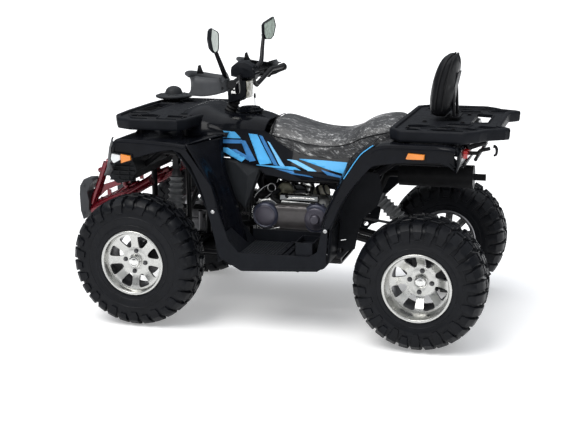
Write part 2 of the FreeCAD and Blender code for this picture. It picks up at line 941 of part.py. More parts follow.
def frame_tubes():
    """The side rails, the posts that carry the bodywork, and the cross tubes."""
    y = s.rail_y
    rail = [(s.rail_rear_x, y, s.rail_low_z), (s.rail_front_x, y, s.rail_low_z), (s.nose_x, y,
                                                                                  s.nose_low_z),
            (s.nose_x, y, s.nose_high_z), (front_axle_x, y, s.rail_high_z), (s.middle_post_x, y,
                                                                             s.rail_high_z),
            (0, y, s.rail_seat_z), (s.rear_shock_top_x, y, s.rail_seat_z), (s.tail_kick_x, y,
                                                                            s.rail_high_z),
            (s.tail_x, y, s.rail_high_z)]
    parts = both_sides(rail, s.frame_tube_radius, s.frame_bend)
    posts = [(s.pivot_x, s.rail_low_z, seat_underside_z), (s.middle_post_x, s.rail_low_z, s.rail_high_z),
             (s.front_post_x, s.rail_low_z, deck_underside_z), (s.tail_post_x, s.rail_high_z,
                                                                tail_underside_z)]
    for x, low_z, high_z in posts:
        parts += both_sides([(x, y, low_z), (x, y, high_z)], s.frame_post_radius, s.frame_bend)
    cross = s.frame_cross_radius
    parts += both_sides([(s.front_post_x, y, s.mid_rail_z), (s.nose_x, y, s.mid_rail_z)], cross,
                        s.frame_bend)
    for x, z in ((s.pivot_x, s.rail_low_z), (s.front_post_x, s.rail_low_z), (s.rail_front_x, s.rail_low_z),
                 (s.mount_rear_x, s.rail_low_z), (s.mount_front_x, s.rail_low_z), (s.nose_x, s.nose_low_z),
                 (s.nose_x, s.nose_high_z), (s.rear_shock_top_x, s.rail_seat_z), (s.tail_x, s.rail_high_z),
                 (s.middle_post_x, s.rail_high_z)):
        parts.append(across(x, 0, z, y, cross))
    shock_bar_z = s.rail_high_z - s.frame_tube_radius
    parts.append(across(s.shock_x, 0, shock_bar_z, s.shock_high_y + ear_far_y, cross))
    return parts


def frame_outriggers():
    """The bars that carry the footwells, and the blocks that carry the engine."""
    parts = []
    for x in (s.outrigger_front_x, s.outrigger_rear_x):
        parts.append(across(x, 0, s.outrigger_z, s.outrigger_y, s.frame_cross_radius))
        for side in SIDES:
            y = s.outrigger_post_y * side
            parts.append(rod(vec(x, y, s.outrigger_z), vec(x, y, well_underside_z), s.eye_radius))
    for x in (s.mount_front_x, s.mount_rear_x):
        for side in SIDES:
            y = s.mount_y * side
            parts.append(block(vec(x - s.mount_half / 2, y - s.mount_half, s.rail_low_z),
                               vec(x + s.mount_half / 2, y + s.mount_half, s.crankcase_low_z - s.seat_gap)))
    return parts


def shock_ears():
    """Plates either side of the front and rear upper damper eyes."""
    parts = []
    for centre_y in (-s.shock_high_y, 0, s.shock_high_y):
        rear = centre_y == 0
        x = s.rear_shock_top_x if rear else s.shock_x
        z = s.rear_shock_top_z if rear else s.shock_high_z
        top = s.rail_seat_z if rear else s.rail_high_z - s.frame_tube_radius
        for low_y, high_y in ((-ear_far_y, -ear_y), (ear_y, ear_far_y)):
            parts.append(block(vec(x - s.eye_radius, centre_y + low_y, z - s.eye_radius),
                               vec(x + s.eye_radius, centre_y + high_y, top)))
    return parts


column_foot = vec(s.column_foot_x, 0, s.column_foot_z)
column_top = vec(s.column_top_x, 0, s.column_top_z)
column_line = (column_top - column_foot).normalize()


def on_column(z):
    return column_foot + column_line * (float(z - s.column_foot_z) / column_line.z)


def steering_bearings():
    """The foot block and the upper guide that hold the steering column."""
    r = s.frame_tube_radius
    foot = column_foot - column_line * float(r + s.seat_gap)
    parts = [across(foot.x, 0, foot.z, s.rail_y, r)]
    for side in SIDES:
        y = s.rail_y * side
        parts.append(rod(vec(foot.x, y, s.rail_low_z), vec(foot.x, y, foot.z), r))
    guide = on_column(s.rail_high_z)
    half = column_line * float(r)
    parts.append(rod(guide - half, guide + half, s.column_radius + r))
    parts.append(rod(vec(s.middle_post_x, 0, s.rail_high_z), guide - X_AXIS * float(s.column_radius),
                     s.frame_cross_radius))
    bore = rod(column_foot, column_top, s.column_radius + s.seat_gap)
    return [part.cut(bore) for part in parts]


feature("frame", weld(frame_tubes() + frame_outriggers() + shock_ears() + steering_bearings()))


def skid_plate():
    """A flat plate under the lower rails, with a row of drain slots."""
    top_z = rail_bottom_z - s.seat_gap
    body = new_body("skid")
    plate = sketch(body, "XY_Plane", z=top_z - s.skid_thickness)
    rounded_outline(plate, [(s.rail_rear_x, -s.rail_y), (s.rail_front_x, -s.rail_y), (s.rail_front_x,
                                                                                      s.rail_y),
                            (s.rail_rear_x, s.rail_y)], s.deck_corner)
    pad(body, plate, s.skid_thickness)
    slot = sketch(body, "XY_Plane", x=s.rail_rear_x + s.skid_slot_length / 2, z=top_z + OVERRUN)
    rounded_outline(slot, [(0, -s.skid_slot_width / 2), (s.skid_slot_length, -s.skid_slot_width / 2),
                           (s.skid_slot_length, s.skid_slot_width / 2), (0, s.skid_slot_width / 2)],
                           s.deck_corner)
    slots = pocket(body, slot, s.skid_thickness + OVERRUN * 2)
    slot_count = (s.rail_front_x - s.rail_rear_x).value // s.skid_slot_pitch.value
    along(body, slots, slot, "H_Axis", s.skid_slot_pitch, int(slot_count))
    return body


node("skid_plate", skid_plate())


# front arms, shocks and knuckles

def arm(rear_x, front_x, inner_z, rail_radius, ball):
    """An A-arm: two tubes from pivots on a rail to one ball joint."""
    inner_y = s.rail_y + rail_radius + s.arm_tube_radius + s.seat_gap
    half = X_AXIS * float(s.eye_radius)
    parts = []
    for x in (rear_x, front_x):
        start = vec(x, inner_y, inner_z)
        stop = ball - (ball - start).normalize() * float(s.eye_radius)
        parts.append(rod(start, stop, s.arm_tube_radius))
        parts.append(rod(start - half, start + half, s.arm_tube_radius))
    rise = Z_AXIS * float(s.arm_tube_radius)
    parts.append(rod(ball - rise, ball + rise, s.eye_radius))
    return parts


ball_low = vec(front_axle_x + s.kingpin_rake, s.kingpin_y, s.ball_low_z)
ball_high = vec(front_axle_x - s.kingpin_rake, s.kingpin_y - s.kingpin_lean, s.ball_high_z)
low_arm = arm(s.arm_low_rear_x, s.arm_low_front_x, s.rail_low_z, s.frame_tube_radius, ball_low)
high_arm = arm(s.arm_high_rear_x, s.arm_high_front_x, s.mid_rail_z, s.frame_cross_radius, ball_high)
leg_share = float(s.shock_low_y - rail_side_y) / float(s.kingpin_y - rail_side_y)
leg_z = s.rail_low_z + (s.ball_low_z - s.rail_low_z) * leg_share
for low_y, high_y in ((-ear_far_y, -ear_y), (ear_y, ear_far_y)):
    low_arm.append(block(vec(s.shock_x - s.eye_radius, s.shock_low_y + low_y, leg_z),
                         vec(s.shock_x + s.eye_radius, s.shock_low_y + high_y,
                             s.shock_low_z + s.eye_radius)))
left_arms = [fuse(low_arm), fuse(high_arm)]
feature("front_arms", Part.makeCompound(left_arms + [mirrored(arms) for arms in left_arms]))

SLEEVE_LOW_share, SLEEVE_HIGH_share = 0.12, 0.86


def shock(foot, top):
    """A damper in a ribbed sleeve, with an eye at each end."""
    run = top - foot
    half_eye = Y_AXIS * float(s.eye_radius)
    parts = [rod(end - half_eye, end + half_eye, s.eye_radius) for end in (foot, top)]
    parts.append(rod(foot, top, s.damper_rod_radius))
    start = foot + run * SLEEVE_LOW_share
    stop = foot + run * SLEEVE_HIGH_share
    parts.append(rod(start, stop, s.damper_radius))
    pitch = (stop - start) / int(s.coil_count)
    half_wire = pitch.normalize() * float(s.coil_wire)
    pitch = (stop - start) / int(s.coil_count)
    for index in range(int(s.coil_count)):
        middle = start + pitch / 2 + pitch * index
        parts.append(rod(middle - half_wire, middle + half_wire, s.coil_radius))
    return fuse(parts)


front_shock = shock(vec(s.shock_x, s.shock_low_y, s.shock_low_z), vec(s.shock_x, s.shock_high_y,
                                                                      s.shock_high_z))
rear_shock = shock(vec(s.rear_shock_foot_x, 0, s.rear_shock_foot_z), vec(s.rear_shock_top_x, 0,
                                                                         s.rear_shock_top_z))
feature("shock_absorbers", Part.makeCompound([front_shock, mirrored(front_shock), rear_shock]))


def knuckle():
    """A steering knuckle between the ball joints, with its spindle, brake disc and steering arm."""
    clear = float(s.arm_tube_radius + s.run_gap)
    line = (ball_high - ball_low).normalize()
    parts = [rod(ball_low + line * clear, ball_high - line * clear, s.eye_radius)]
    root_y = s.kingpin_y - s.kingpin_lean
    spindle_y = front_face_y - s.rim_web - s.seat_gap
    parts.append(rod(vec(front_axle_x, root_y, front_axle_z), vec(front_axle_x, spindle_y, front_axle_z),
                     s.hub_radius / 2))
    parts.append(across(front_axle_x, s.kingpin_y + s.hub_radius, front_axle_z, s.disc_thickness / 2,
                        s.disc_radius))
    arm_z = s.tie_rod_outer_z - s.tie_rod_drop - s.skin
    end = vec(front_axle_x + s.steer_arm, s.tie_rod_outer_y, arm_z)
    half_eye = Z_AXIS * float(s.skin)
    parts.append(rod(vec(front_axle_x, s.kingpin_y - s.kingpin_lean / 2, arm_z), end, s.tie_rod_radius))
    parts.append(rod(end - half_eye, end + half_eye, s.eye_radius))
    return fuse(parts)


knuckle_left = feature("knuckle_left", knuckle())
node("knuckle_right", mirror_of(knuckle_left))


# steering column, tie rods and handlebar

forward = Y_AXIS.cross(column_line)
forward = forward if forward.x > 0 else forward * -1
pitman_root = column_foot + column_line * float(s.eye_radius)
pitman_tip = pitman_root + forward * float(s.steer_arm)


def steering_column():
    """The column with its two-holed pitman arm at the foot."""
    parts = [rod(column_foot, column_top, s.column_radius)]
    half_eye = column_line * float(s.skin)
    for side in SIDES:
        tip = pitman_tip + Y_AXIS * float(s.tie_rod_inner_y) * side
        parts.append(rod(pitman_root, tip, s.skin))
        parts.append(rod(tip - half_eye, tip + half_eye, s.eye_radius))
    return fuse(parts)


feature("steering_column", steering_column())


def tie_rod():
    """A rod with an eye above the pitman arm and one above the knuckle arm."""
    lift = s.skin * 2 + s.tie_rod_radius
    inner_half = column_line * float(lift - s.skin - s.seat_gap)
    outer_half = Z_AXIS * float(s.skin)
    inner = pitman_tip + Y_AXIS * float(s.tie_rod_inner_y) + column_line * float(lift)
    outer = vec(front_axle_x + s.steer_arm, s.tie_rod_outer_y, s.tie_rod_outer_z + s.skin)
    return fuse([rod(inner, outer, s.tie_rod_radius), rod(inner - inner_half, inner + inner_half,
                                                          s.eye_radius),
                 rod(outer - outer_half, outer + outer_half, s.eye_radius)])


tie_rod_left = feature("tie_rod_left", tie_rod())
node("tie_rod_right", mirror_of(tie_rod_left))

BAR_shares = [(0.16, 0.0, 0.0), (0.36, -0.08, 0.30), (0.70, -0.42, 0.42), (1.0, -1.0, 0.90)]
bar_right, bar_left = [[vec(s.bar_clamp_x + s.bar_sweep * back, s.bar_y * out * side,
                            s.bar_clamp_z + s.bar_rise * up)
                        for out, back, up in BAR_shares] for side in SIDES]
bar_tube = tube(bar_right[::-1] + bar_left, s.bar_radius, s.bar_bend)
feature("handlebar", bar_tube.cut(rod(column_foot, column_top, s.column_radius + s.seat_gap)))


def grip(points):
    inner, end = points[-2:]
    line = (inner - end).normalize()
    sleeve = rod(end, end + line * float(s.grip_length), s.grip_radius)
    return sleeve.cut(rod(end - line * float(s.skin), inner, s.bar_radius + s.seat_gap))


feature("grips", Part.makeCompound([grip(bar_right), grip(bar_left)]))


def bar_clamp(start_share, radius):
    """A ring round the left inner stretch of the handlebar, and its centre."""
    run = bar_left[2] - bar_left[1]
    centre = bar_left[1] + run * start_share
    half = run.normalize() * float(s.clamp_length / 2)
    ring = rod(centre - half, centre + half, radius)
    return ring.cut(rod(bar_left[1], bar_left[2], s.bar_radius + s.seat_gap)), centre


# engine unit

def obround(profile):
    """Two discs in line, joined by a waist, as the belt case has it."""
    front, rear = s.case_front_radius, s.case_rear_radius
    outline(profile, [(s.clutch_x, s.clutch_z - rear), (s.crank_x, s.crank_z - front),
                      (s.crank_x + front * COG_share, s.crank_z - front * COG_share),
                      (s.crank_x + front, s.crank_z), (s.crank_x + front * COG_share,
                                                       s.crank_z + front * COG_share),
                      (s.crank_x, s.crank_z + front), (s.clutch_x, s.clutch_z + rear),
                      (s.clutch_x - rear * COG_share, s.clutch_z + rear * COG_share), (s.clutch_x - rear,
                                                                                       s.clutch_z),
                      (s.clutch_x - rear * COG_share, s.clutch_z - rear * COG_share)])


COG_share = math.sqrt(0.5)
gearbox_half = -s.chain_y - s.chain_width / 2 - s.run_gap * 2


def belt_case():
    """The case behind the belt cover, as deep as from the crankcase to the cover's joint."""
    body = new_body("belt_case")
    profile = sketch(body, "XZ_Plane", y=s.case_wall_y)
    obround(profile)
    pad(body, profile, s.case_wall_y - s.case_half_width + OVERRUN)
    return body


def engine():
    """Crankcase, gearbox, a finned cylinder lying forward, the fan housing and the drive shaft."""
    half = s.case_half_width
    low, high = s.crankcase_low_z, s.crankcase_high_z
    case_rear_x = s.drive_x + s.drive_radius + s.chain_depth + s.run_gap * 2
    parts = [box((case_rear_x, -half, low), (s.crankcase_front_x, half, high))]
    parts.append(box((s.drive_x - s.drive_radius, -gearbox_half, s.gearbox_low_z), (case_rear_x + OVERRUN,
                                                                                    half, high)))
    parts.append(belt_case())
    reach = s.cylinder_half
    parts.append(box((s.crankcase_front_x - OVERRUN, -reach, s.crank_z - reach),
                     (s.crankcase_front_x + s.cylinder_length, reach, s.crank_z + reach)))
    reach = s.cylinder_half + s.fin_reach
    for index in range(1, int(s.fin_count) + 1):
        x = s.crankcase_front_x + s.fin_pitch * index
        parts.append(box((x, -reach, s.crank_z - reach), (x + s.fin_thickness, reach, s.crank_z + reach)))
    parts.append(cylinder((s.crank_x - s.fin_reach, -half - s.fan_depth, s.crank_z), Y_AXIS, s.fan_radius,
                          s.fan_depth + OVERRUN))
    parts.append(cylinder((s.drive_x, s.chain_y - s.chain_width, s.drive_z), Y_AXIS, s.drive_radius / 2,
                          s.chain_width * 2))
    parts.append(bar_across(s.drive_x, s.chain_y, s.drive_z, s.sprocket_thickness / 2, s.drive_radius))
    return joined(parts)


node("engine", engine())


def belt_cover():
    """The outer belt cover: a flat case with a round boss at the crank and one with a knob at the clutch."""
    body = new_body("cover")
    face_y = s.case_wall_y + s.cover_depth
    profile = sketch(body, "XZ_Plane", y=face_y)
    obround(profile)
    pad(body, profile, s.cover_depth - s.seat_gap)
    for x, z, radius, height in ((s.crank_x, s.crank_z, s.case_front_radius - s.skin, s.cover_boss),
                                 (s.clutch_x, s.clutch_z, s.case_rear_radius - s.skin, s.cover_boss),
                                 (s.clutch_x, s.clutch_z, s.knob_radius, s.cover_boss * 2)):
        boss = sketch(body, "XZ_Plane", y=face_y + height)
        circle(boss, x, z, radius)
        pad(body, boss, height + OVERRUN)
    return body


node("belt_cover", belt_cover())


def intake():
    """The air box between the seat rails, with the carburettor and its stub on the crankcase."""
    foot_z = s.crankcase_high_z + s.seat_gap
    airbox = box((s.clutch_x - s.airbox_length, -s.airbox_half, s.airbox_low_z),
                 (s.clutch_x, s.airbox_half, s.airbox_high_z))
    carb = cylinder((s.clutch_x - OVERRUN, 0, s.carb_z), X_AXIS, s.carb_radius, s.airbox_length)
    stub = cylinder((s.clutch_x + s.airbox_length / 2, 0, foot_z), Z_AXIS, s.damper_radius,
                    s.carb_z - foot_z)
    return joined([airbox, carb, stub])


node("intake", intake())

PORT_share = 0.85


def exhaust():
    """The pipe from the cylinder's underside, along the right side, to a can under the tail rail."""
    half = s.cylinder_half
    start = vec(s.crankcase_front_x + s.cylinder_length * PORT_share, -half / 2,
                s.crank_z - half - s.fin_reach - s.seat_gap)
    side_y = -s.case_half_width - s.fan_depth - s.pipe_radius - s.run_gap * 2
    low_z = s.crankcase_low_z + s.pipe_radius
    can_foot = vec(s.muffler_x, s.muffler_y, s.muffler_z)
    points = [start, vec(start.x, start.y, low_z), vec(s.crankcase_front_x + half, -s.rail_y, low_z),
              vec(s.crankcase_front_x, side_y, low_z), vec(s.pivot_x + s.pipe_radius, side_y, low_z),
              vec(s.rear_shock_top_x, side_y, s.muffler_z - half * 2), can_foot + X_AXIS * float(half),
              can_foot]
    pipe = tube(points, s.pipe_radius, s.frame_bend)
    can = Part.makeCylinder(s.muffler_radius, s.muffler_length, can_foot, X_AXIS * -1)
    tail = Part.makeCylinder(s.pipe_radius, s.muffler_radius, can_foot - X_AXIS * float(s.muffler_length),
                             X_AXIS * -1)
    hanger_top = s.rail_high_z - s.frame_tube_radius - s.seat_gap
    hanger = block(vec(s.hanger_x, -s.rail_y, s.muffler_z), vec(s.hanger_x + s.lip, -s.rail_y + s.skin,
                                                                hanger_top))
    return fuse([pipe, can, tail, hanger])


feature("exhaust", exhaust())


# front bodywork

GUARD_OUTLINE_shares = [(1.04, 0.77), (0.99, 0.955), (0.34, 0.955), (0.12, 0.57), (0.08, 0.375), (0.19,
                                                                                                  0.375),
                        (0.30, 0.53), (0.48, 0.75), (0.57, 0.80), (0.70, 0.78), (0.92, 0.735)]
GUARD_LINER_shares = [(0.92, 0.735), (0.70, 0.78), (0.57, 0.80), (0.48, 0.75), (0.30, 0.53), (0.19, 0.375)]
GUARD_FOOT_share = 0.375
SHIELD_shares = [(0.395, 0.10, -0.06), (0.58, 0.145, -0.03), (0.78, 0.265, 0.012), (0.945, 0.36, 0.076)]


def front_fender():
    """One moulding over both front wheels: a deck, side flanges, wheel liners and leg shields."""
    body = new_body("front_fender")
    corner = (s.guard_x, s.guard_z)
    size = (s.guard_length, s.guard_height)
    outer_y = s.body_half_width
    front_x = s.guard_x + s.guard_length
    deck = sketch(body, "XY_Plane", z=s.deck_z - s.skin)
    rounded_outline(deck, [(front_x, -outer_y), (front_x, outer_y), (s.deck_rear_x, outer_y),
                           (s.deck_rear_x, s.deck_step_y), (s.deck_step_x, s.deck_step_y),
                           (s.deck_step_x, -s.deck_step_y), (s.deck_rear_x, -s.deck_step_y),
                           (s.deck_rear_x, -outer_y)], s.deck_corner)
    pad(body, deck, s.skin)
    flange = sketch(body, "XZ_Plane", y=outer_y)
    rounded_outline(flange, placed(GUARD_OUTLINE_shares, corner, size), s.small_corner)
    liner = sketch(body, "XZ_Plane", y=outer_y - s.small_corner)
    inset = (s.guard_x - s.small_corner, s.guard_z + s.small_corner)
    outline(liner, band(placed(GUARD_LINER_shares, inset, size), -s.skin, s.skin))
    sides = [pad(body, flange, s.skin), pad(body, liner, outer_y - s.small_corner - s.inner_guard_y)]
    levels = [(s.guard_z + s.guard_height * up, (s.guard_x + s.guard_length * outer,
                                                 outer_y - s.small_corner),
               (s.guard_x + s.guard_length * inner, s.shield_inner_y)) for up, outer,
               inner in SHIELD_shares]
    sides.append(upright(body, levels, s.skin))
    mirror_features(body, sides)
    return body


node("front_fender", front_fender())

COVER_shares = [(0.0, 0.62, 0.66), (0.19, 0.74, 0.80), (0.35, 0.84, 0.72), (0.50, 0.95, 0.84), (0.65, 0.95,
                                                                                                0.98),
                (0.77, 0.90, 0.53), (0.86, 0.82, 0.43), (1.0, 0.7, 0.36)]
CAP_HEIGHT_share = 0.8
cap_foot_z = s.cover_z + s.cover_height * CAP_HEIGHT_share - s.cap_sink


def tank_cover():
    """The hood and tank cover in one, lofted along the machine, with its two openings."""
    sections = []
    for along_share, wide, high in COVER_shares:
        half, top = s.cover_half_width * wide, s.cover_z + s.cover_height * high
        corners = [(-half, s.cover_z), (half, s.cover_z), (half, top), (-half, top)]
        sections.append((s.cover_rear_x + s.cover_length * along_share, corners, s.cover_corner))
    body = lofted("hood", sections)
    deck_zone = sketch(body, "XY_Plane", z=s.deck_z + s.seat_gap)
    nose_end = s.cover_rear_x + s.cover_length + OVERRUN
    outline(deck_zone, [(s.deck_rear_x - s.seat_gap, -s.side_y), (nose_end, -s.side_y), (nose_end,
                                                                                         s.side_y),
                        (s.deck_rear_x - s.seat_gap, s.side_y)])
    pocket(body, deck_zone, s.deck_z - s.cover_z + OVERRUN)
    neck = sketch(body, "XY_Plane", z=s.cover_z + s.cover_height + OVERRUN)
    circle(neck, s.cap_x, 0, s.cap_radius + s.seat_gap)
    pocket(body, neck, s.cover_z + s.cover_height + OVERRUN - cap_foot_z + s.seat_gap)
    column_hole = doc.addObject("Part::Feature", "column_hole")
    column_hole.Shape = rod(column_foot, column_top, s.column_hole)
    return cut_by(body, column_hole)


node("tank_cover", tank_cover())
node("fuel_cap", cylinder((s.cap_x, 0, cap_foot_z), Z_AXIS, s.cap_radius, s.cap_height))

SIDE_shares = [(0.0, 0.70, 0.62, 0.84, 0.50), (0.10, 0.72, 0.44, 0.97, 0.0), (0.38, 0.72, 0.46, 1.0, 0.02),
               (0.64, 0.60, 0.84, 1.0, 0.22), (0.80, 0.55, 0.97, 0.99, 0.28), (1.0, 0.60, 0.92, 0.90, 0.54)]


def side_panel():
    """A slanting skin beside the seat and tank, with a lip under the seat's edge."""
    sections = []
    lip_top = s.seat_base_z - s.seat_gap
    lip_low = lip_top - s.skin
    for along_share, top_wide, top_high, foot_wide, foot_high in SIDE_shares:
        top = (s.side_y * top_wide, s.side_z + s.side_height * top_high)
        foot = (s.side_y * foot_wide, s.side_z + s.side_height * foot_high)
        inner = (top[0] - s.skin, top[1])
        sections.append((s.side_x + s.side_length * along_share,
                         [top, foot, (foot[0] - s.skin, foot[1]), inner], None))
    skin = lofted("side_skin", sections)
    shelf_x = s.side_x + s.side_length * SIDE_shares[1][0]
    shelf = box((shelf_x, s.side_y * SIDE_shares[1][1] - s.lip, lip_low),
                (shelf_x + s.side_length * SHELF_share, s.side_y * SIDE_shares[1][1] + s.skin, lip_top))
    return joined([skin, shelf])


SHELF_share = 0.28
node("side_panels", both(side_panel()))

SCOOP_shares = [(0.0, 0.33), (0.08, 1.0), (1.0, 1.0), (0.86, 0.45), (0.62, 0.0)]


def scoop():
    """The air scoop below the side panel, carried by a boss on the frame's middle post."""
    body = new_body("scoop")
    profile = sketch(body, "XZ_Plane", y=s.scoop_y)
    rounded_outline(profile, placed(SCOOP_shares, (s.scoop_x, s.scoop_z), (s.scoop_length, s.scoop_height)),
                    s.scoop_corner)
    pad(body, profile, s.scoop_depth)
    boss = sketch(body, "XZ_Plane", y=s.scoop_y - s.scoop_depth + OVERRUN)
    circle(boss, s.middle_post_x - s.skin, s.scoop_boss_z, s.tie_rod_radius)
    post_side_y = s.rail_y + s.frame_post_radius + s.seat_gap
    pad(body, boss, s.scoop_y - s.scoop_depth + OVERRUN - post_side_y)
    return body


node("lower_panels", both(scoop()))

SEAT_shares = [(0.0, 0.62, 0.30, 0.92), (0.10, 0.86, 0.10, 1.0), (0.27, 1.0, 0.0, 0.80), (0.40, 1.0, 0.0,
                                                                                          0.55),
               (0.56, 0.96, 0.0, 0.52), (0.74, 0.88, 0.05, 0.64), (0.90, 0.74, 0.16, 0.82), (1.0, 0.50,
                                                                                             0.36, 0.80)]


def seat():
    """A long stepped seat, lofted along the machine."""
    sections = []
    for along_share, wide, low, high in SEAT_shares:
        half = s.seat_half_width * wide
        low_z, high_z = s.seat_base_z + s.seat_height * low, s.seat_base_z + s.seat_height * high
        sections.append((s.seat_x + s.seat_length * along_share,
                         [(-half, low_z), (half, low_z), (half, high_z), (-half, high_z)], s.seat_corner))
    return lofted("seat_foam", sections)


node("seat", seat())


# footwells

WELL_OUTLINE_shares = [(0.99, 1.0), (0.89, 1.0), (0.83, 0.36), (0.70, 0.22), (0.06, 0.18), (0.0, 0.33),
                       (-0.04, 0.78), (-0.10, 0.78), (-0.06, 0.11), (0.0, 0.0), (0.73, 0.0), (0.90, 0.165)]
WELL_FRONT_shares = [(0.72, 0.20), (0.84, 0.55)]
WELL_REAR_shares = [(0.01, 0.20), (-0.07, 0.76)]
guard_foot_z = s.guard_z + s.guard_height * GUARD_FOOT_share


def footwell():
    """An open moulding for one foot: an apron, a floor with raised bars, end walls and a heel box."""
    body = new_body("footwell")
    corner = (s.well_x, s.well_z)
    size = (s.well_length, guard_foot_z - s.seat_gap - s.well_z)
    outer_y = s.body_half_width
    inside_y = outer_y - s.well_band + s.small_corner
    apron = sketch(body, "XZ_Plane", y=outer_y)
    rounded_outline(apron, placed(WELL_OUTLINE_shares, corner, size), s.small_corner)
    pad(body, apron, s.well_band)
    floor = sketch(body, "XY_Plane", z=s.well_floor_z - s.skin)
    outline(floor, [(s.well_x, s.well_inner_y), (s.well_floor_front_x, s.well_inner_y),
                    (s.well_floor_front_x, inside_y), (s.well_x, inside_y)])
    pad(body, floor, s.skin)
    for shares, lean, reach in ((WELL_FRONT_shares, s.skin, inside_y - s.well_inner_y),
                                (WELL_REAR_shares, -s.skin, s.kick_width)):
        wall = sketch(body, "XZ_Plane", y=inside_y)
        outline(wall, band(placed(shares, corner, size), lean, 0))
        pad(body, wall, reach)
    kick = sketch(body, "XY_Plane", z=s.well_floor_z - s.small_corner)
    outline(kick, [(s.well_x + s.skin, inside_y - s.kick_width), (s.well_x + s.kick_length,
                                                                  inside_y - s.kick_width),
                   (s.well_x + s.kick_length, inside_y), (s.well_x + s.skin, inside_y)])
    pad(body, kick, s.kick_height)
    inner = sketch(body, "XY_Plane", z=s.well_floor_z - s.skin)
    outline(inner, [(s.well_x, s.well_inner_y), (s.well_floor_front_x, s.well_inner_y),
                    (s.well_floor_front_x, s.well_inner_y + s.skin), (s.well_x, s.well_inner_y + s.skin)])
    pad(body, inner, s.well_wall_top_z - s.well_floor_z)
    bar_x = s.well_floor_front_x - s.tread_pitch
    bar = sketch(body, "XY_Plane", z=s.well_floor_z - s.small_corner)
    outline(bar, [(bar_x, inside_y), (bar_x, s.well_inner_y), (bar_x + s.tread_bar, s.well_inner_y),
                  (bar_x + s.tread_bar, inside_y)])
    bars = pad(body, bar, s.tread_bar + s.small_corner)
    row = along(body, bars, bar, "H_Axis", s.tread_pitch, s.tread_count)
    row.Reversed = True
    return body


footwell_left = node("footwell_left", footwell())
node("footwell_right", mirror_of(footwell_left))


# rear bodywork

REAR_OUTLINE_shares = [(0.0, 0.74), (0.03, 0.98), (0.55, 0.98), (0.68, 0.90), (0.80, 0.62), (0.98, 0.02),
                       (0.90, 0.0), (0.78, 0.36), (0.74, 0.50), (0.62, 0.74), (0.40, 0.80), (0.12, 0.82)]
REAR_LEG_shares = [(0.043, 0.95, 0.9875, 0.845), (0.314, 0.872, 0.925, 0.818), (0.60, 0.786, 0.846, 0.76),
                   (0.857, 0.68, 0.741, 0.68), (0.975, 0.545, 0.634, 0.66)]
REAR_LINER_shares = [(0.90, 0.0), (0.78, 0.36), (0.74, 0.50), (0.62, 0.74), (0.40, 0.80), (0.12, 0.82),
                     (0.0, 0.74)]


def rear_fender():
    """One moulding over both rear wheels, with a tail panel for the lamps and a hollow for the seat."""
    body = new_body("rear_fender")
    corner = (s.rear_guard_x, s.rear_guard_z)
    size = (s.rear_guard_length, s.rear_guard_height)
    outer_y = s.body_half_width
    hollow_y = s.seat_half_width + s.run_gap
    hollow_x = s.seat_x - s.run_gap
    deck = sketch(body, "XY_Plane", z=s.rear_deck_z - s.skin)
    inner_y = outer_y - s.small_corner
    outline(deck, [(s.rear_guard_x, -inner_y), (s.rear_deck_front_x, -inner_y), (s.rear_deck_front_x,
                                                                                 -hollow_y),
                   (hollow_x, -hollow_y), (hollow_x, hollow_y), (s.rear_deck_front_x, hollow_y),
                   (s.rear_deck_front_x, inner_y), (s.rear_guard_x, inner_y)])
    pad(body, deck, s.skin)
    tail = sketch(body, "YZ_Plane", x=s.rear_guard_x)
    outline(tail, [(-inner_y, s.tail_lamp_z - s.skin), (inner_y, s.tail_lamp_z - s.skin), (inner_y,
                                                                                           s.rear_deck_z),
                   (-inner_y, s.rear_deck_z)])
    pad(body, tail, s.skin)
    flange = sketch(body, "XZ_Plane", y=outer_y)
    outline(flange, placed(REAR_OUTLINE_shares, corner, size))
    liner = sketch(body, "XZ_Plane", y=outer_y - s.small_corner)
    outline(liner, band(placed(REAR_LINER_shares, corner, size), s.skin, s.skin))
    sides = [pad(body, flange, s.skin), pad(body, liner, outer_y - s.small_corner - s.inner_guard_y)]
    levels = [(s.rear_guard_z + s.rear_guard_height * up,
               (s.rear_guard_x + s.rear_guard_length * outer, outer_y - s.small_corner),
               (s.rear_guard_x + s.rear_guard_length * inner, outer_y * wide))
              for up, outer, inner, wide in REAR_LEG_shares]
    sides.append(upright(body, levels, -s.skin))
    mirror_features(body, sides)
    return body


node("rear_fender", rear_fender())


# racks

FRONT_RACK_shares = [(0.0, 0.86), (0.13, 1.0), (0.62, 0.92), (1.0, 0.72)]
FRONT_WINDOW_shares = [[(0.05, 0.62), (0.32, 0.62), (0.07, 0.86)], [(0.40, 0.66), (0.36, 0.90), (0.15,
                                                                                                 0.92)],
                       [(0.46, 0.62), (0.74, 0.62), (0.48, 0.86)], [(0.84, 0.52), (0.84, 0.72), (0.60,
                                                                                                 0.84)]]
NOSE_WINDOW_shares = [(0.70, 0.36), (0.92, 0.28), (0.92, -0.28), (0.70, -0.36)]
REAR_RACK_shares = [(1.0, 0.87), (0.90, 1.0), (0.34, 1.0), (0.20, 0.88), (0.02, 0.76), (0.0, 0.66), (0.09,
                                                                                                     0.50)]
REAR_WINDOW_shares = [[(0.94, 0.62), (0.72, 0.62), (0.92, 0.88)], [(0.66, 0.68), (0.64, 0.92), (0.86,
                                                                                                0.92)],
                      [(0.60, 0.62), (0.38, 0.62), (0.58, 0.88)], [(0.26, 0.62), (0.32, 0.88), (0.52,
                                                                                                0.90)]]
TAIL_WINDOW_shares = [(0.16, 0.44), (0.36, 0.30), (0.36, -0.30), (0.16, -0.44)]


def opposite(points):
    return [(u, -v) for u, v in points[::-1]]


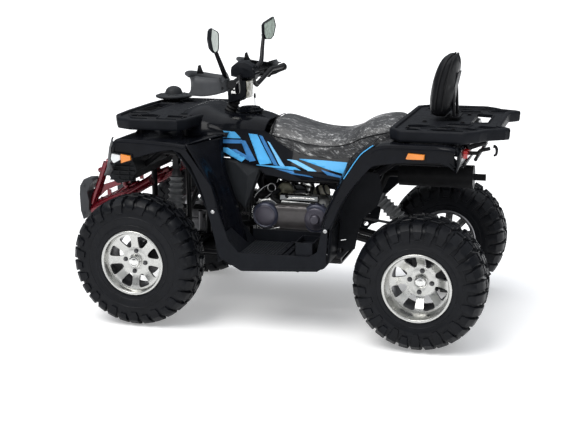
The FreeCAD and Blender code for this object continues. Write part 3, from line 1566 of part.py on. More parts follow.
def rack(label, outline_shares, windows, corner_x, length, half, low_z, legs, leg_low_z, well=None):
    """A moulded carrier: a plate with openings right through, on four legs."""
    body = new_body(label)

    def spread(shares):
        return placed(shares, (corner_x, 0), (length, half))

    plate = sketch(body, "XY_Plane", z=low_z)
    edge = spread(outline_shares)
    rounded_outline(plate, edge + opposite(edge), s.rack_corner)
    pad(body, plate, s.rack_depth)
    openings = sketch(body, "XY_Plane", z=low_z + s.rack_depth + OVERRUN)
    for shares in windows:
        rounded_outline(openings, spread(shares), s.small_corner)
        if shares[0][1] != -shares[-1][1]:
            rounded_outline(openings, spread(opposite(shares)), s.small_corner)
    if well:
        outline(openings, well)
    pocket(body, openings, s.rack_depth + OVERRUN * 2)
    feet = sketch(body, "XY_Plane", z=leg_low_z)
    for x, y in legs:
        outline(feet, [(x, y), (x + s.rack_leg, y), (x + s.rack_leg, y + s.rack_leg), (x, y + s.rack_leg)])
        outline(feet, [(x, -y - s.rack_leg), (x + s.rack_leg, -y - s.rack_leg), (x + s.rack_leg, -y), (x,
                                                                                                       -y)])
    pad(body, feet, low_z + OVERRUN - leg_low_z)
    return body


def front_rack():
    """The front carrier round the hood, with the flat round knob on its right side."""
    rear_x, front_x = s.front_rack_x - OVERRUN, s.rack_well_x
    half, narrow = s.rack_well_half, s.rack_well_half - s.rack_corner
    well = [(rear_x, -half), (front_x, -narrow), (front_x, narrow), (rear_x, half)]
    legs = [(s.front_leg_rear_x, s.front_leg_y), (s.front_leg_front_x, s.front_leg_y)]
    carrier = rack("front_carrier", FRONT_RACK_shares, FRONT_WINDOW_shares + [NOSE_WINDOW_shares],
                   s.front_rack_x,
                   s.front_rack_length, s.front_rack_half, s.rack_z, legs, s.deck_z + s.seat_gap, well)
    top_z = s.rack_z + s.rack_depth
    stalk = cylinder((s.dome_x, s.dome_y, top_z - OVERRUN), Z_AXIS, s.damper_radius, s.dome_stalk + OVERRUN)
    brim = cylinder((s.dome_x, s.dome_y, top_z + s.dome_stalk), Z_AXIS, s.dome_brim, s.dome_brim_height)
    bowl = doc.addObject("Part::Sphere", "bowl")
    bowl.Angle1 = 0
    bind(bowl, {"Radius": s.dome_radius})
    bind_place(bowl, s.dome_x, s.dome_y, top_z + s.dome_stalk + s.dome_brim_height / 2)
    return joined([carrier, stalk, brim, bowl])


node("front_rack", front_rack())
rear_legs = [(s.rear_leg_front_x, s.rear_leg_y), (s.rear_leg_rear_x, s.rear_leg_y)]
node("rear_rack", rack("rear_carrier", REAR_RACK_shares, REAR_WINDOW_shares + [TAIL_WINDOW_shares],
                       s.rear_rack_x,
                       s.rear_rack_length, s.rear_rack_half, s.rear_rack_z, rear_legs,
                       s.rear_deck_z + s.seat_gap))


# nose, lamps and bumper

NOSE_shares = [(0.0, 1.0), (0.3, 1.0), (0.85, 0.45), (1.0, 0.0), (0.78, 0.0), (0.55, 0.35), (0.0, 0.55)]
FOOT_TOP_share = 0.36
NOSE_PLATE_shares = [(0.02, 1.0), (0.30, 1.0), (0.42, 0.30), (0.24, 0.30)]
nose_x = s.nose_x - s.nose_setback


def nose_fascia():
    """The front panel: a leaning plate with two lamp openings between two side cheeks."""
    body = new_body("nose")
    corner = (nose_x, s.nose_low)
    size = (s.nose_length, deck_underside_z - s.nose_low)
    plate = sketch(body, "XZ_Plane", y=s.nose_plate_half)
    outline(plate, placed(NOSE_PLATE_shares, corner, size))
    pad(body, plate, s.nose_plate_half * 2)
    lamp_holes = sketch(body, "YZ_Plane", x=nose_x + s.nose_length)
    for side in SIDES:
        circle(lamp_holes, s.lamp_y * side, s.lamp_z, s.lamp_radius + s.seat_gap)
    pocket(body, lamp_holes, s.nose_length + OVERRUN)
    cheek = sketch(body, "XZ_Plane", y=s.nose_half)
    rounded_outline(cheek, placed(NOSE_shares, corner, size), s.small_corner)
    foot = sketch(body, "XZ_Plane", y=s.rail_y + s.nose_foot_width / 2)
    foot_x = s.nose_x + s.frame_tube_radius + s.seat_gap
    foot_z = s.nose_high_z - s.nose_foot_height
    foot_top_z = s.nose_low + size[1] * FOOT_TOP_share
    outline(foot, [(foot_x, foot_z), (foot_x + s.nose_foot_depth, foot_z),
                   (foot_x + s.nose_foot_depth, foot_top_z), (foot_x, foot_top_z)])
    mirror_features(body, [pad(body, cheek, s.nose_side), pad(body, foot, s.nose_foot_width)])
    return body


node("nose_fascia", nose_fascia())
node("headlamps", both(cylinder((nose_x + s.skin, s.lamp_y, s.lamp_z), X_AXIS, s.lamp_radius,
                                s.lamp_depth)))

BUMPER_shares = [(0.0, 0.68), (0.45, 0.52), (0.75, 0.36), (1.0, 0.0), (0.96, 0.66), (0.72, 1.0)]
bumper_side = [vec(x, s.bumper_y, z) for x, z in placed(BUMPER_shares, (s.bumper_x, s.bumper_z),
                                                        (s.bumper_length, s.bumper_height))]


def bumper_loops():
    right = [vec(point.x, -point.y, point.z) for point in bumper_side]
    return [tube(points, s.bumper_tube_radius, s.bar_bend) for points in (bumper_side, right)]


def bumper():
    """Two bent side loops with cross bars between them, and stays back to the frame's nose."""
    parts = bumper_loops()
    for first, second in ((2, 3), (4, 5)):
        middle = (bumper_side[first] + bumper_side[second]) / 2
        parts.append(across(middle.x, 0, middle.z, s.bumper_y, s.bumper_cross_radius))
    low_bar = (bumper_side[2] + bumper_side[3]) / 2
    low_bar.y = 0
    nose_bar = vec(s.nose_x, 0, s.nose_low_z)
    back = (low_bar - nose_bar).normalize() * float(s.frame_cross_radius + s.seat_gap)
    for side in SIDES:
        shift = Y_AXIS * float(s.bumper_stay_y) * side
        parts.append(rod(nose_bar + back + shift, low_bar + shift, s.bumper_stay_radius))
        rail_side = vec(s.nose_x, (rail_side_y + s.seat_gap) * side, bumper_side[1].z)
        parts.append(rod(rail_side, vec(s.nose_x, s.bumper_y * side, bumper_side[1].z),
                         s.bumper_stay_radius))
    return weld(parts)


feature("front_bumper", bumper())

CAP_shares = [(0.0, 0.82), (0.55, 1.0), (0.92, 0.85), (1.0, 0.55), (0.9, 0.0), (0.6, 0.0), (0.62, 0.5),
              (0.45, 0.7)]


def bumper_cap():
    """The moulded guard on one bumper loop, hollowed for the tube it sits on."""
    body = new_body("cap")
    profile = sketch(body, "XZ_Plane", y=s.bumper_y + s.cap_width / 2)
    cap_x = s.bumper_x + s.bumper_length + s.cap_front - s.cap_length
    rounded_outline(profile, placed(CAP_shares, (cap_x, s.bumper_z - s.cap_drop), (s.cap_length,
                                                                                   s.bumper_height)),
                    s.small_corner)
    pad(body, profile, s.cap_width)
    loop = doc.addObject("Part::Feature", "loop")
    loop.Shape = tube(bumper_side, s.bumper_tube_radius, s.bar_bend)
    return cut_by(body, loop)


node("bumper_caps", both(bumper_cap()))


def signal(x, z, height):
    """A side indicator lying on a fender's flange."""
    foot_y = s.body_half_width + s.seat_gap
    return box((x, foot_y, z), (x + s.signal_length, foot_y + s.signal_depth, z + height))


def indicators():
    """The four indicators, two a side."""
    item = doc.addObject("Part::Compound", "signals")
    item.Links = [both(signal(s.front_signal_x, s.front_signal_z, s.front_signal_height)),
                  both(signal(s.rear_signal_x, s.rear_signal_z, s.rear_signal_height))]
    return item


node("indicators", indicators())
tail_lamp = box((s.rear_guard_x - s.tail_lamp_depth, s.tail_lamp_y, s.tail_lamp_z),
                (s.rear_guard_x - s.seat_gap, s.tail_lamp_y + s.tail_lamp_width,
                 s.tail_lamp_z + s.tail_lamp_height))
node("tail_lamps", both(tail_lamp))


# backrest and grab bar

PAD_shares = [(0.0, 0.0), (0.62, 0.03), (0.80, 0.20), (0.72, 0.62), (0.30, 0.96), (-0.10, 1.0), (-0.20,
                                                                                                 0.88),
              (0.06, 0.45)]
BRACKET_FOOT_share, BRACKET_TOP_share = 0.45, 0.7


def backrest_pad():
    """The pad: one profile as wide as the backrest, leaning back."""
    body = new_body("pad")
    profile = sketch(body, "XZ_Plane", y=s.pad_half)
    rounded_outline(profile, placed(PAD_shares, (s.pad_foot_x, s.pad_foot_z), (s.pad_thickness,
                                                                               s.pad_height)),
                    s.small_corner)
    pad(body, profile, s.pad_half * 2)
    return body


backrest = node("backrest_pad", backrest_pad())


def backrest_bracket():
    """A foot plate on the rack and two posts up the back of the pad."""
    base_z = s.rear_rack_z + s.rack_depth + s.seat_gap
    plate = box((s.pad_foot_x - s.bracket_length, -s.bracket_half, base_z),
                (s.pad_foot_x - s.skin, s.bracket_half, base_z + s.skin))
    parts = []
    foot_x = s.pad_foot_x - s.pad_thickness * BRACKET_FOOT_share
    top_x = s.pad_foot_x - s.pad_thickness * BACK_share
    for side in SIDES:
        y = s.bracket_post_y * side
        foot = vec(foot_x, y, base_z + s.skin / 2)
        top = vec(top_x, y, base_z + s.pad_height * BRACKET_TOP_share)
        parts.append(rod(foot, top, s.tie_rod_radius))
        parts.append(rod(top, vec(s.pad_foot_x, y, top.z), s.tie_rod_radius))
    posts = doc.addObject("Part::Feature", "posts")
    posts.Shape = fuse(parts)
    return cut_by(joined([plate, posts]), backrest)


BACK_share = 0.35
node("backrest_bracket", backrest_bracket())


def grab_bar():
    """A bent bar behind the rack, its two ends lying level under the rack's plate."""
    z = s.rear_rack_z - s.bar_radius - s.seat_gap
    end_x = s.rear_guard_x - s.seat_gap
    bend_x = s.rear_guard_x - s.tail_lamp_depth
    reach, low_z = bend_x - s.grab_reach, z - s.grab_drop
    points = [vec(end_x, s.bumper_y, z), vec(bend_x, s.bumper_y, z), vec(reach, s.bumper_y, low_z),
              vec(reach, -s.bumper_y, low_z), vec(bend_x, -s.bumper_y, z), vec(end_x, -s.bumper_y, z)]
    return tube(points, s.bar_radius, s.bar_bend)


feature("grab_bar", grab_bar())


# handlebar fittings

def lever_line():
    """Where the lever runs, from the switch housing to before the grip."""
    centre = bar_clamp(SWITCH_share, s.switch_radius)[1]
    return centre + X_AXIS * float(s.switch_radius - s.lever_radius), bar_left[2] + vec(s.lever_reach,
                                                                                      s.grip_length / 2, 0)


def hand_guard():
    """A bent plate before the grip, on a ring round the handlebar."""
    ring, centre = bar_clamp(GUARD_CLAMP_share, s.bar_radius + s.clamp_wall)
    root_x = centre.x + s.bar_radius + s.clamp_wall / 2
    front_x, rear_x, inner_y, outer_y = s.guard_front_x, s.guard_rear_x, centre.y, s.guard_outer_y
    knee_y = s.guard_knee_y
    outer_line = [(root_x, inner_y), (front_x, inner_y), (front_x, knee_y), (rear_x, outer_y)]
    inner_line = [(rear_x, outer_y - s.skin), (front_x - s.skin, knee_y - s.skin / 2),
                  (front_x - s.skin, inner_y + s.skin), (root_x, inner_y + s.skin)]
    closed = [vec(x, y, s.guard_plate_low_z) for x, y in outer_line + inner_line]
    plate = Part.Face(Part.makePolygon(closed + closed[:1])).extrude(vec(0, 0, s.guard_plate_height))
    return weld([ring, plate.cut(rod(*lever_line(), s.lever_radius + s.run_gap / 2))])


GUARD_CLAMP_share, SWITCH_share = 0.82, 0.5
feature("hand_guards", pair(hand_guard()))

def controls():
    """The left switch housing on its ring, with its lever before the grip."""
    ring = bar_clamp(SWITCH_share, s.switch_radius)[0]
    return fuse([ring, rod(*lever_line(), s.lever_radius)])


feature("controls", pair(controls()))


def instrument_pod():
    """The display on the column's top, wider at its face."""
    low = s.column_top_z + s.column_radius * abs(column_line.x) + s.seat_gap
    rear_x = s.pod_rear_x
    sections = []
    for x, half, height in ((rear_x, s.pod_half - s.pod_corner, s.pod_height - s.pod_corner * 2),
                            (rear_x + s.pod_length, s.pod_half, s.pod_height)):
        sections.append((x, [(-half, low), (half, low), (half, low + height), (-half, low + height)],
                         s.pod_corner))
    return lofted("pod", sections)


node("instrument_pod", instrument_pod())

MIRROR_FACE_shares = [(-1.0, -0.42), (1.0, -0.55), (0.85, 0.35), (-0.7, 0.55)]
MIRROR_CLAMP_share = 0.2


def mirror():
    """A mirror on a bent stalk, held by a ring round the handlebar."""
    ring, centre = bar_clamp(MIRROR_CLAMP_share, s.bar_radius + s.clamp_wall)
    foot = centre + Z_AXIS * float(s.bar_radius + s.clamp_wall / 2)
    shoulder = foot + vec(s.clamp_length, s.clamp_length, s.mirror_height)
    head = vec(s.column_top_x - s.mirror_depth, s.bar_y, s.mirror_z)
    stalk = tube([foot, shoulder, head], s.tie_rod_radius, s.bar_bend)
    corners = [vec(head.x - s.mirror_depth / 2, y, z)
               for y, z in placed(MIRROR_FACE_shares, (s.bar_y, s.mirror_z), (s.mirror_half_width,
                                                                              s.mirror_height))]
    face = Part.Face(Part.makePolygon(corners + corners[:1]))
    return fuse([ring, stalk, face.extrude(vec(s.mirror_depth, 0, 0))])


feature("mirrors", pair(mirror()))


def check_and_write():
    doc.recompute()
    for item in doc.Objects:
        if "Invalid" in item.State or "Error" in item.State:
            raise RuntimeError("failed object: %s %s" % (item.Name, item.Label))
    os.makedirs("parts", exist_ok=True)
    for item in NODES:
        if item.Shape.isNull() or not item.Shape.isValid():
            raise RuntimeError("bad shape: " + item.Label)
        item.Shape.exportStep(os.path.join("parts", item.Label + ".step"))
    print(len(NODES), "sub-parts written")


check_and_write()
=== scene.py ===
import math

import bmesh
import bpy
from mathutils import Matrix, Vector, noise
from mathutils.geometry import tessellate_polygon

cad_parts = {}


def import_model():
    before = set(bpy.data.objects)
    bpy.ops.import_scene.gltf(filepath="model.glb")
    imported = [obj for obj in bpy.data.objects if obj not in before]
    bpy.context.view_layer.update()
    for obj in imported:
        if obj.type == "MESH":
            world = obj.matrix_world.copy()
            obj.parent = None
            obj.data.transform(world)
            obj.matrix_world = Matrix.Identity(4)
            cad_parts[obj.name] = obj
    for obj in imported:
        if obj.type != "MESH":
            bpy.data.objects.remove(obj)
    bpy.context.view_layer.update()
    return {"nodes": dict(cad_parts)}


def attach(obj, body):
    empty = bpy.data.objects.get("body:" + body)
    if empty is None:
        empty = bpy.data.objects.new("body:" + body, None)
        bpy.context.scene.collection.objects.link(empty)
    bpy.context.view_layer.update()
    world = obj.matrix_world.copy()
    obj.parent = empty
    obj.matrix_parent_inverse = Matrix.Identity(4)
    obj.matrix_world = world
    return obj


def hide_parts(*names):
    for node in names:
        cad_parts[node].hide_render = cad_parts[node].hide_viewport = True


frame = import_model()
scene = bpy.context.scene
MM, SIDES = 0.001, (-1, 1)  # metres in a millimetre; right and left


# camera, light and floor

PHOTO_WIDTH, SENSOR = 577, 36
FOCAL, CENTRE_SHIFT = 1083.03, (288.5 - 287.276, 217.2 - 216.5)  # in pixels of the photo
CAMERA_AT, CAMERA_TURN = (-1.315, 4.6299, 1.5758), (-0.284793, 0.237275, -0.0071555)  # metres; yaw, pitch, roll


def camera():
    yaw, pitch, roll = CAMERA_TURN
    ahead = Vector((-math.sin(yaw) * math.cos(pitch), -math.cos(yaw) * math.cos(pitch), -math.sin(pitch)))
    level = ahead.cross(Vector((0, 0, 1))).normalized()
    above = level.cross(ahead)
    right = math.cos(roll) * level + math.sin(roll) * above
    up = -math.sin(roll) * level + math.cos(roll) * above
    data = bpy.data.cameras.new("camera")
    data.sensor_width = SENSOR
    data.lens = FOCAL / PHOTO_WIDTH * SENSOR
    data.shift_x, data.shift_y = (shift / PHOTO_WIDTH for shift in CENTRE_SHIFT)
    ob = bpy.data.objects.new("camera", data)
    ob.matrix_world = Matrix.Translation(CAMERA_AT) @ Matrix((right, up, -ahead)).transposed().to_4x4()
    scene.collection.objects.link(ob)
    scene.camera = ob


class Graph:
    """A cleared node tree. An input is given as a value or as the socket that feeds it."""

    def __init__(self, block):
        block.use_nodes = True
        self.tree = block.node_tree
        self.tree.nodes.clear()

    def add(self, kind, inputs=None, **settings):
        node = self.tree.nodes.new("ShaderNode" + kind)
        for key, value in settings.items():
            setattr(node, key, value)
        for key, value in (inputs or {}).items():
            if isinstance(value, bpy.types.NodeSocket):
                self.tree.links.new(value, node.inputs[key])
            else:
                node.inputs[key].default_value = value
        return node

    def ramp(self, source, stops):
        ramp = self.add("ValToRGB", {0: source})
        elements = ramp.color_ramp.elements
        for k, (at, colour) in enumerate(stops):
            element = elements[k] if k < 2 else elements.new(at)
            element.position, element.color = at, (*colour, 1)
        return ramp.outputs[0]

    def span(self, source, low, high, to_low=0.0, to_high=1.0):
        return self.add("MapRange", {0: source, "From Min": low, "From Max": high, "To Min": to_low,
                                     "To Max": to_high}).outputs[0]

    def bump(self, source, strength, distance):
        return self.add("Bump", {"Height": source, "Strength": strength, "Distance": distance}).outputs[0]


def world():
    block = scene.world = bpy.data.worlds.new("sky")
    graph = Graph(block)
    split = graph.add("SeparateXYZ", {0: graph.add("TexCoord").outputs["Generated"]})
    half = graph.add("Math", {0: split.outputs["Z"], 1: 0.5, 2: 0.5}, operation="MULTIPLY_ADD")
    sky = graph.ramp(half.outputs[0], [
        (0.0, (0.20, 0.20, 0.21)), (0.47, (0.12, 0.12, 0.13)), (0.54, (0.07, 0.075, 0.08)),
        (0.68, (0.16, 0.17, 0.185)), (0.82, (0.75, 0.78, 0.82)), (1.0, (1.25, 1.28, 1.34))])
    graph.add("OutputWorld", {0: graph.add("Background", {0: sky, 1: 1.0}).outputs[0]})


def sun(name, towards, power, angle, colour=(1, 1, 1)):
    data = bpy.data.lights.new(name, "SUN")
    data.energy, data.angle, data.color = power, math.radians(angle), colour
    ob = bpy.data.objects.new(name, data)
    ob.rotation_mode = "QUATERNION"
    ob.rotation_quaternion = Vector(towards).to_track_quat("-Z", "Y")
    scene.collection.objects.link(ob)


def floor():
    bm = bmesh.new()
    bmesh.ops.create_grid(bm, x_segments=8, y_segments=8, size=60)
    me = bpy.data.meshes.new("floor")
    bm.to_mesh(me)
    bm.free()
    ob = bpy.data.objects.new("floor", me)
    scene.collection.objects.link(ob)
    block = bpy.data.materials.new("floor")
    graph = Graph(block)
    shade = graph.add("BsdfPrincipled", {"Base Color": (0.86, 0.86, 0.86, 1), "Roughness": 1.0,
                                         "Specular IOR Level": 0.0, "Emission Color": (1, 1, 1, 1),
                                         "Emission Strength": 0.30})
    graph.add("OutputMaterial", {0: shade.outputs[0]})
    me.materials.append(block)


camera()
scene.view_settings.view_transform = "Standard"
world()
sun("key", (-0.30, -0.50, -0.95), 1.9, 38, (1, 0.985, 0.96))
sun("fill", (0.60, -0.85, -0.30), 0.28, 40)
floor()


# materials

def tint(col, k):
    return tuple(min(1, c * k) for c in col)


def material(name, col, rough=0.5, metal=0.0, coat=0.0, coat_rough=0.08, grain=0.0, grain_size=0.8, cloud=0.12,
             cloud_size=60, dust=0.0, dust_col=(0.30, 0.29, 0.27), spread=0.08, transmission=0.0,
             emission=((1, 1, 1), 0.0), specular=0.5, brushed=None):
    """Base colour clouded by noise, roughness that varies, fine grain in the bump and dust on what faces up."""
    block = bpy.data.materials.new(name)
    graph = Graph(block)
    coord = graph.add("TexCoord").outputs["Object"]

    def noise_tex(size_mm, detail, rough_in=0.55):
        return graph.add("TexNoise", {"Vector": coord, "Scale": 1000 / size_mm, "Detail": detail,
                                      "Roughness": rough_in}).outputs["Fac"]

    colour = graph.ramp(noise_tex(cloud_size, 4), [(0.3, tint(col, 1 - cloud)), (0.7, tint(col, 1 + cloud))])
    if dust:
        split = graph.add("SeparateXYZ", {0: graph.add("NewGeometry").outputs["Normal"]})
        amount = graph.add("Math", {0: graph.span(split.outputs["Z"], -0.3, 1.0, 0.0, dust),
                                    1: graph.span(noise_tex(35, 6, 0.65), 0.35, 0.7)}, operation="MULTIPLY")
        colour = graph.add("Mix", {0: amount.outputs[0], 6: colour, 7: (*dust_col, 1)}, data_type="RGBA").outputs[2]
    inputs = {"Base Color": colour, "Metallic": metal, "Specular IOR Level": specular, "Coat Weight": coat,
              "Coat Roughness": coat_rough, "Transmission Weight": transmission,
              "Roughness": graph.span(noise_tex(max(12, cloud_size / 3), 5), 0.3, 0.7, max(0.02, rough - spread),
                                      min(1, rough + spread)),
              "Emission Color": (*emission[0], 1), "Emission Strength": emission[1]}
    if grain:
        inputs["Normal"] = graph.bump(noise_tex(grain_size, 2), grain, 0.0006)
    if brushed:
        lines = graph.add("TexWave", {"Vector": coord, "Scale": 420, "Distortion": 1.2, "Detail": 3},
                          wave_type="RINGS", rings_direction=brushed)
        inputs["Normal"] = graph.bump(lines.outputs["Fac"], 0.12, 0.0004)
    graph.add("OutputMaterial", {0: graph.add("BsdfPrincipled", inputs).outputs[0]})
    return block


def film_material():
    """Dark vinyl under clear film: the folds bump the film's coat, and the base colour carries painted highlights, long
    light streaks where the film is pulled into folds.
    """
    block = bpy.data.materials.new("seat_film_painted_sheen")
    graph = Graph(block)
    coord = graph.add("TexCoord").outputs["Object"]

    def streaks(scale, turn, size, detail):
        place = graph.add("Mapping", {0: coord, "Rotation": (0, -turn, 0.12), "Scale": [1 / s for s in scale]},
                          vector_type="TEXTURE")
        return graph.add("TexNoise", {"Vector": place.outputs[0], "Scale": size, "Detail": detail,
                                      "Roughness": 0.62, "Distortion": 0.6}).outputs["Fac"]

    long_folds = streaks((1.3, 30.0, 30.0), 0.42, 2.2, 5)
    fine_folds = streaks((2.8, 70.0, 70.0), 0.50, 2.6, 6)
    crumple = streaks((14.0, 20.0, 20.0), 0.0, 2.5, 4)
    folds = graph.add("Math", {0: long_folds, 1: fine_folds}, operation="ADD").outputs[0]
    height = graph.add("Math", {0: crumple, 1: 0.6, 2: folds}, operation="MULTIPLY_ADD").outputs[0]
    # painted highlight: the ramp below turns the base colour from near black to light grey along the fold streaks
    half = graph.add("Math", {0: folds, 1: 0.5}, operation="MULTIPLY").outputs[0]
    colour = graph.ramp(half, [(0.47, (0.007, 0.007, 0.008)), (0.53, (0.035, 0.035, 0.036)),
                               (0.575, (0.20, 0.20, 0.20)), (0.63, (0.55, 0.55, 0.54))])
    shade = graph.add("BsdfPrincipled", {
        "Base Color": colour, "Roughness": 0.38, "Normal": graph.bump(long_folds, 0.35, 0.004), "Coat Weight": 0.55,
        "Coat Roughness": 0.12, "Coat IOR": 1.6, "Coat Normal": graph.bump(height, 1.0, 0.010)})
    graph.add("OutputMaterial", {0: shade.outputs[0]})
    return block


GRIT = dict(grain=0.3, grain_size=1.2)
M = {
    "gloss": material("black_gloss", (0.0030, 0.0036, 0.0058), 0.20, coat=0.11, coat_rough=0.03, grain=0.02,
                      grain_size=3, cloud=0.25, dust=0.015, specular=0.07),
    "plastic": material("dark_plastic", (0.0075, 0.0085, 0.0112), 0.46, grain=0.35, grain_size=0.9, cloud=0.15,
                        dust=0.025, specular=0.09),
    "grey_plastic": material("grey_plastic", (0.019, 0.021, 0.024), 0.5, grain=0.35, grain_size=0.9, cloud=0.12,
                             dust=0.05, specular=0.16),
    "frame": material("frame_black", (0.0055, 0.0055, 0.007), 0.36, coat=0.10, grain=0.10, grain_size=2.5, dust=0.03,
                      specular=0.14),
    "red": material("bumper_red", (0.15, 0.002, 0.010), 0.24, metal=0.5, coat=0.7, coat_rough=0.06, cloud=0.2,
                    grain=0.03, grain_size=2),
    "tyre": material("tyre_rubber", (0.0042, 0.0048, 0.0066), 0.40, grain=0.25, grain_size=1.6, cloud=0.22,
                     cloud_size=45, dust=0.03, dust_col=(0.05, 0.05, 0.052), spread=0.14, specular=0.17),
    "alloy": material("rim_alloy", (0.56, 0.56, 0.54), 0.30, metal=1.0, cloud=0.05, spread=0.07, brushed="Y"),
    "alloy_in": material("rim_inner", (0.30, 0.30, 0.31), 0.38, metal=1.0, cloud=0.10, grain=0.1, grain_size=1.2),
    "engine": material("engine_alloy", (0.36, 0.36, 0.35), 0.40, metal=0.9, grain=0.5, grain_size=1.4, cloud=0.18,
                       cloud_size=30, spread=0.1),
    "polished": material("polished_alloy", (0.72, 0.72, 0.70), 0.18, metal=1.0, grain=0.10, grain_size=6, cloud=0.08),
    "blue_cover": material("cover_blue", (0.042, 0.046, 0.075), 0.40, metal=0.35, coat=0.25, coat_rough=0.2,
                           cloud=0.15, **GRIT),
    "brown_cover": material("cover_brown", (0.085, 0.078, 0.078), 0.38, metal=0.45, coat=0.2, coat_rough=0.2,
                            cloud=0.15, **GRIT),
    "cover_face": material("cover_face", (0.075, 0.070, 0.092), 0.36, metal=0.3, coat=0.2, coat_rough=0.2, **GRIT),
    "cap_plastic": material("cap_plastic", (0.042, 0.044, 0.048), 0.5, specular=0.3, grain=0.6, grain_size=1.2,
                            cloud=0.15),
    "sleeve": material("sleeve", (0.20, 0.205, 0.21), 0.5, specular=0.35, grain=0.5, grain_size=1.4, cloud=0.3),
    "engine_dark": material("engine_dark", (0.022, 0.022, 0.024), 0.45, metal=0.6, grain=0.5, grain_size=1.4,
                            cloud=0.18, spread=0.1),
    "olive": material("cover_olive", (0.17, 0.165, 0.12), 0.45, metal=0.5, cloud=0.15, **GRIT),
    "steel": material("steel", (0.50, 0.50, 0.50), 0.30, metal=1.0, grain=0.1, grain_size=1, cloud=0.15),
    "dark_steel": material("dark_steel", (0.10, 0.10, 0.105), 0.42, metal=0.8, grain=0.2, grain_size=1.2, cloud=0.2),
    "exhaust": material("exhaust_black", (0.008, 0.008, 0.009), 0.46, grain=0.15, grain_size=1.5,
                        cloud=0.2, dust=0.03, specular=0.14),
    "pad": material("pad_vinyl", (0.0055, 0.0058, 0.0072), 0.42, grain=0.55, grain_size=1.8, cloud=0.15, specular=0.22),
    "clear": material("lamp_clear", (0.85, 0.87, 0.88), 0.08, transmission=0.25, coat=0.6, cloud=0.05,
                      emission=((1, 1, 1), 0.10)),
    "amber": material("lamp_amber", (0.75, 0.22, 0.012), 0.16, transmission=0.15, coat=0.7, cloud=0.12,
                      emission=((1, 0.35, 0.02), 0.12)),
    "tail": material("lamp_red", (0.42, 0.008, 0.008), 0.14, transmission=0.1, coat=0.8, cloud=0.1,
                     emission=((1, 0.02, 0.02), 0.08)),
    "rubber": material("rubber_black", (0.0075, 0.0075, 0.0085), 0.6, specular=0.25, cloud=0.2, **GRIT),
    "mirror": material("mirror_glass", (0.16, 0.20, 0.17), 0.05, metal=1.0, cloud=0.5, cloud_size=14, spread=0.03),
    "shock": material("shock_grey", (0.060, 0.062, 0.064), 0.50, grain=0.3, grain_size=1.4, cloud=0.18, dust=0.15,
                      specular=0.3),
    "cream": material("wrap_film", (0.40, 0.38, 0.30), 0.30, coat=0.6, cloud=0.25, cloud_size=20, grain=0.6,
                      grain_size=6),
    "reflector": material("reflector", (0.85, 0.86, 0.86), 0.12, metal=1.0, grain=0.3, grain_size=5, cloud=0.05),
    "seat_film_painted_sheen": film_material(),
}
for tone, col in (("light", (0.085, 0.42, 0.80)), ("dark", (0.045, 0.20, 0.47)), ("pale", (0.20, 0.55, 0.90))):
    M["decal_" + tone] = material("decal_" + tone, col, 0.42, coat=0.10, coat_rough=0.15, specular=0.15, cloud=0.06,
                                  grain=0.02, grain_size=3)


# mesh helpers: everything below is drawn in millimetres and scaled once

def piece(bm, name, body, slot, mat, replaces=(), angle=35, bevel=0.0, segments=2, thick=0.0, offset=0.0, subsurf=0,
          as_is=False, origin=None):
    """Makes a mesh object of a bmesh, with its modifiers and body, and hides the CAD nodes that it replaces. The slot
    is not used.
    """
    if not as_is:
        bmesh.ops.recalc_face_normals(bm, faces=bm.faces)
    me = bpy.data.meshes.new(name)
    bm.to_mesh(me)
    bm.free()
    me.transform(Matrix.Scale(MM, 4))
    ob = bpy.data.objects.new(name, me)
    if origin:
        me.transform(Matrix.Translation(Vector(origin) * -MM))
        ob.location = Vector(origin) * MM
    me.shade_smooth()
    if not bevel:
        me.set_sharp_from_angle(angle=math.radians(angle))
    scene.collection.objects.link(ob)
    me.materials.append(M[mat])
    if subsurf:
        mod = ob.modifiers.new("subsurf", "SUBSURF")
        mod.levels = mod.render_levels = subsurf
    if thick:
        mod = ob.modifiers.new("solidify", "SOLIDIFY")
        mod.thickness, mod.offset, mod.use_even_offset = thick * MM, offset, True
    if bevel:
        mod = ob.modifiers.new("bevel", "BEVEL")
        mod.width, mod.segments, mod.harden_normals = bevel * MM, segments, True
        mod.limit_method, mod.angle_limit = "ANGLE", math.radians(angle)
    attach(ob, body)
    if replaces:
        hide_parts(*([replaces] if isinstance(replaces, str) else replaces))
    return ob


def mirror_y(bm):
    """Adds the faces' mirror images across y = 0."""
    other = bm.copy()
    for v in other.verts:
        v.co.y = -v.co.y
    bmesh.ops.reverse_faces(other, faces=other.faces)
    table = {v: bm.verts.new(v.co) for v in other.verts}
    for face in other.faces:
        bm.faces.new([table[v] for v in face.verts])
    other.free()
    return bm


def circle(n, radius, centre=(0, 0), turn=0.0):
    angles = [math.tau * k / n + turn for k in range(n)]
    return [(centre[0] + radius * math.cos(t), centre[1] + radius * math.sin(t)) for t in angles]


def sided(points, side):
    """A left-hand line as it is (side 1), or on the right (side -1)."""
    return [(x, y * side, z) for x, y, z in points]


def both_halves(line):
    """A line that starts at y = 0, led by its mirror image."""
    return [Vector((x, -y, z)) for x, y, z in line[:0:-1]] + line


def rect(low_u, low_v, high_u, high_v):
    return [(low_u, low_v), (high_u, low_v), (high_u, high_v), (low_u, high_v)]


def corner(a, b, c, radius, n, share, limit, flat=90):
    """The points that round the corner b. One wider than the limit stays, one wider than flat gets a Bezier curve."""
    back, ahead = a - b, c - b
    if radius <= 0 or min(back.length, ahead.length) < 1e-6:
        return [b]
    half = back.angle(ahead) / 2
    if half > math.radians(limit):
        return [b]
    reach = min(radius / math.tan(half), back.length * share, ahead.length * share)
    back.normalize()
    ahead.normalize()
    centre = b + (back + ahead).normalized() * (reach * math.tan(half) / math.sin(half))
    start, end = b + back * reach - centre, b + ahead * reach - centre
    steps = [k / n for k in range(n + 1)]
    if half > math.radians(flat):
        first, last = start + centre, end + centre
        return [first * (1 - t) ** 2 + b * 2 * t * (1 - t) + last * t ** 2 for t in steps]
    return [centre + start.slerp(end, t) for t in steps]


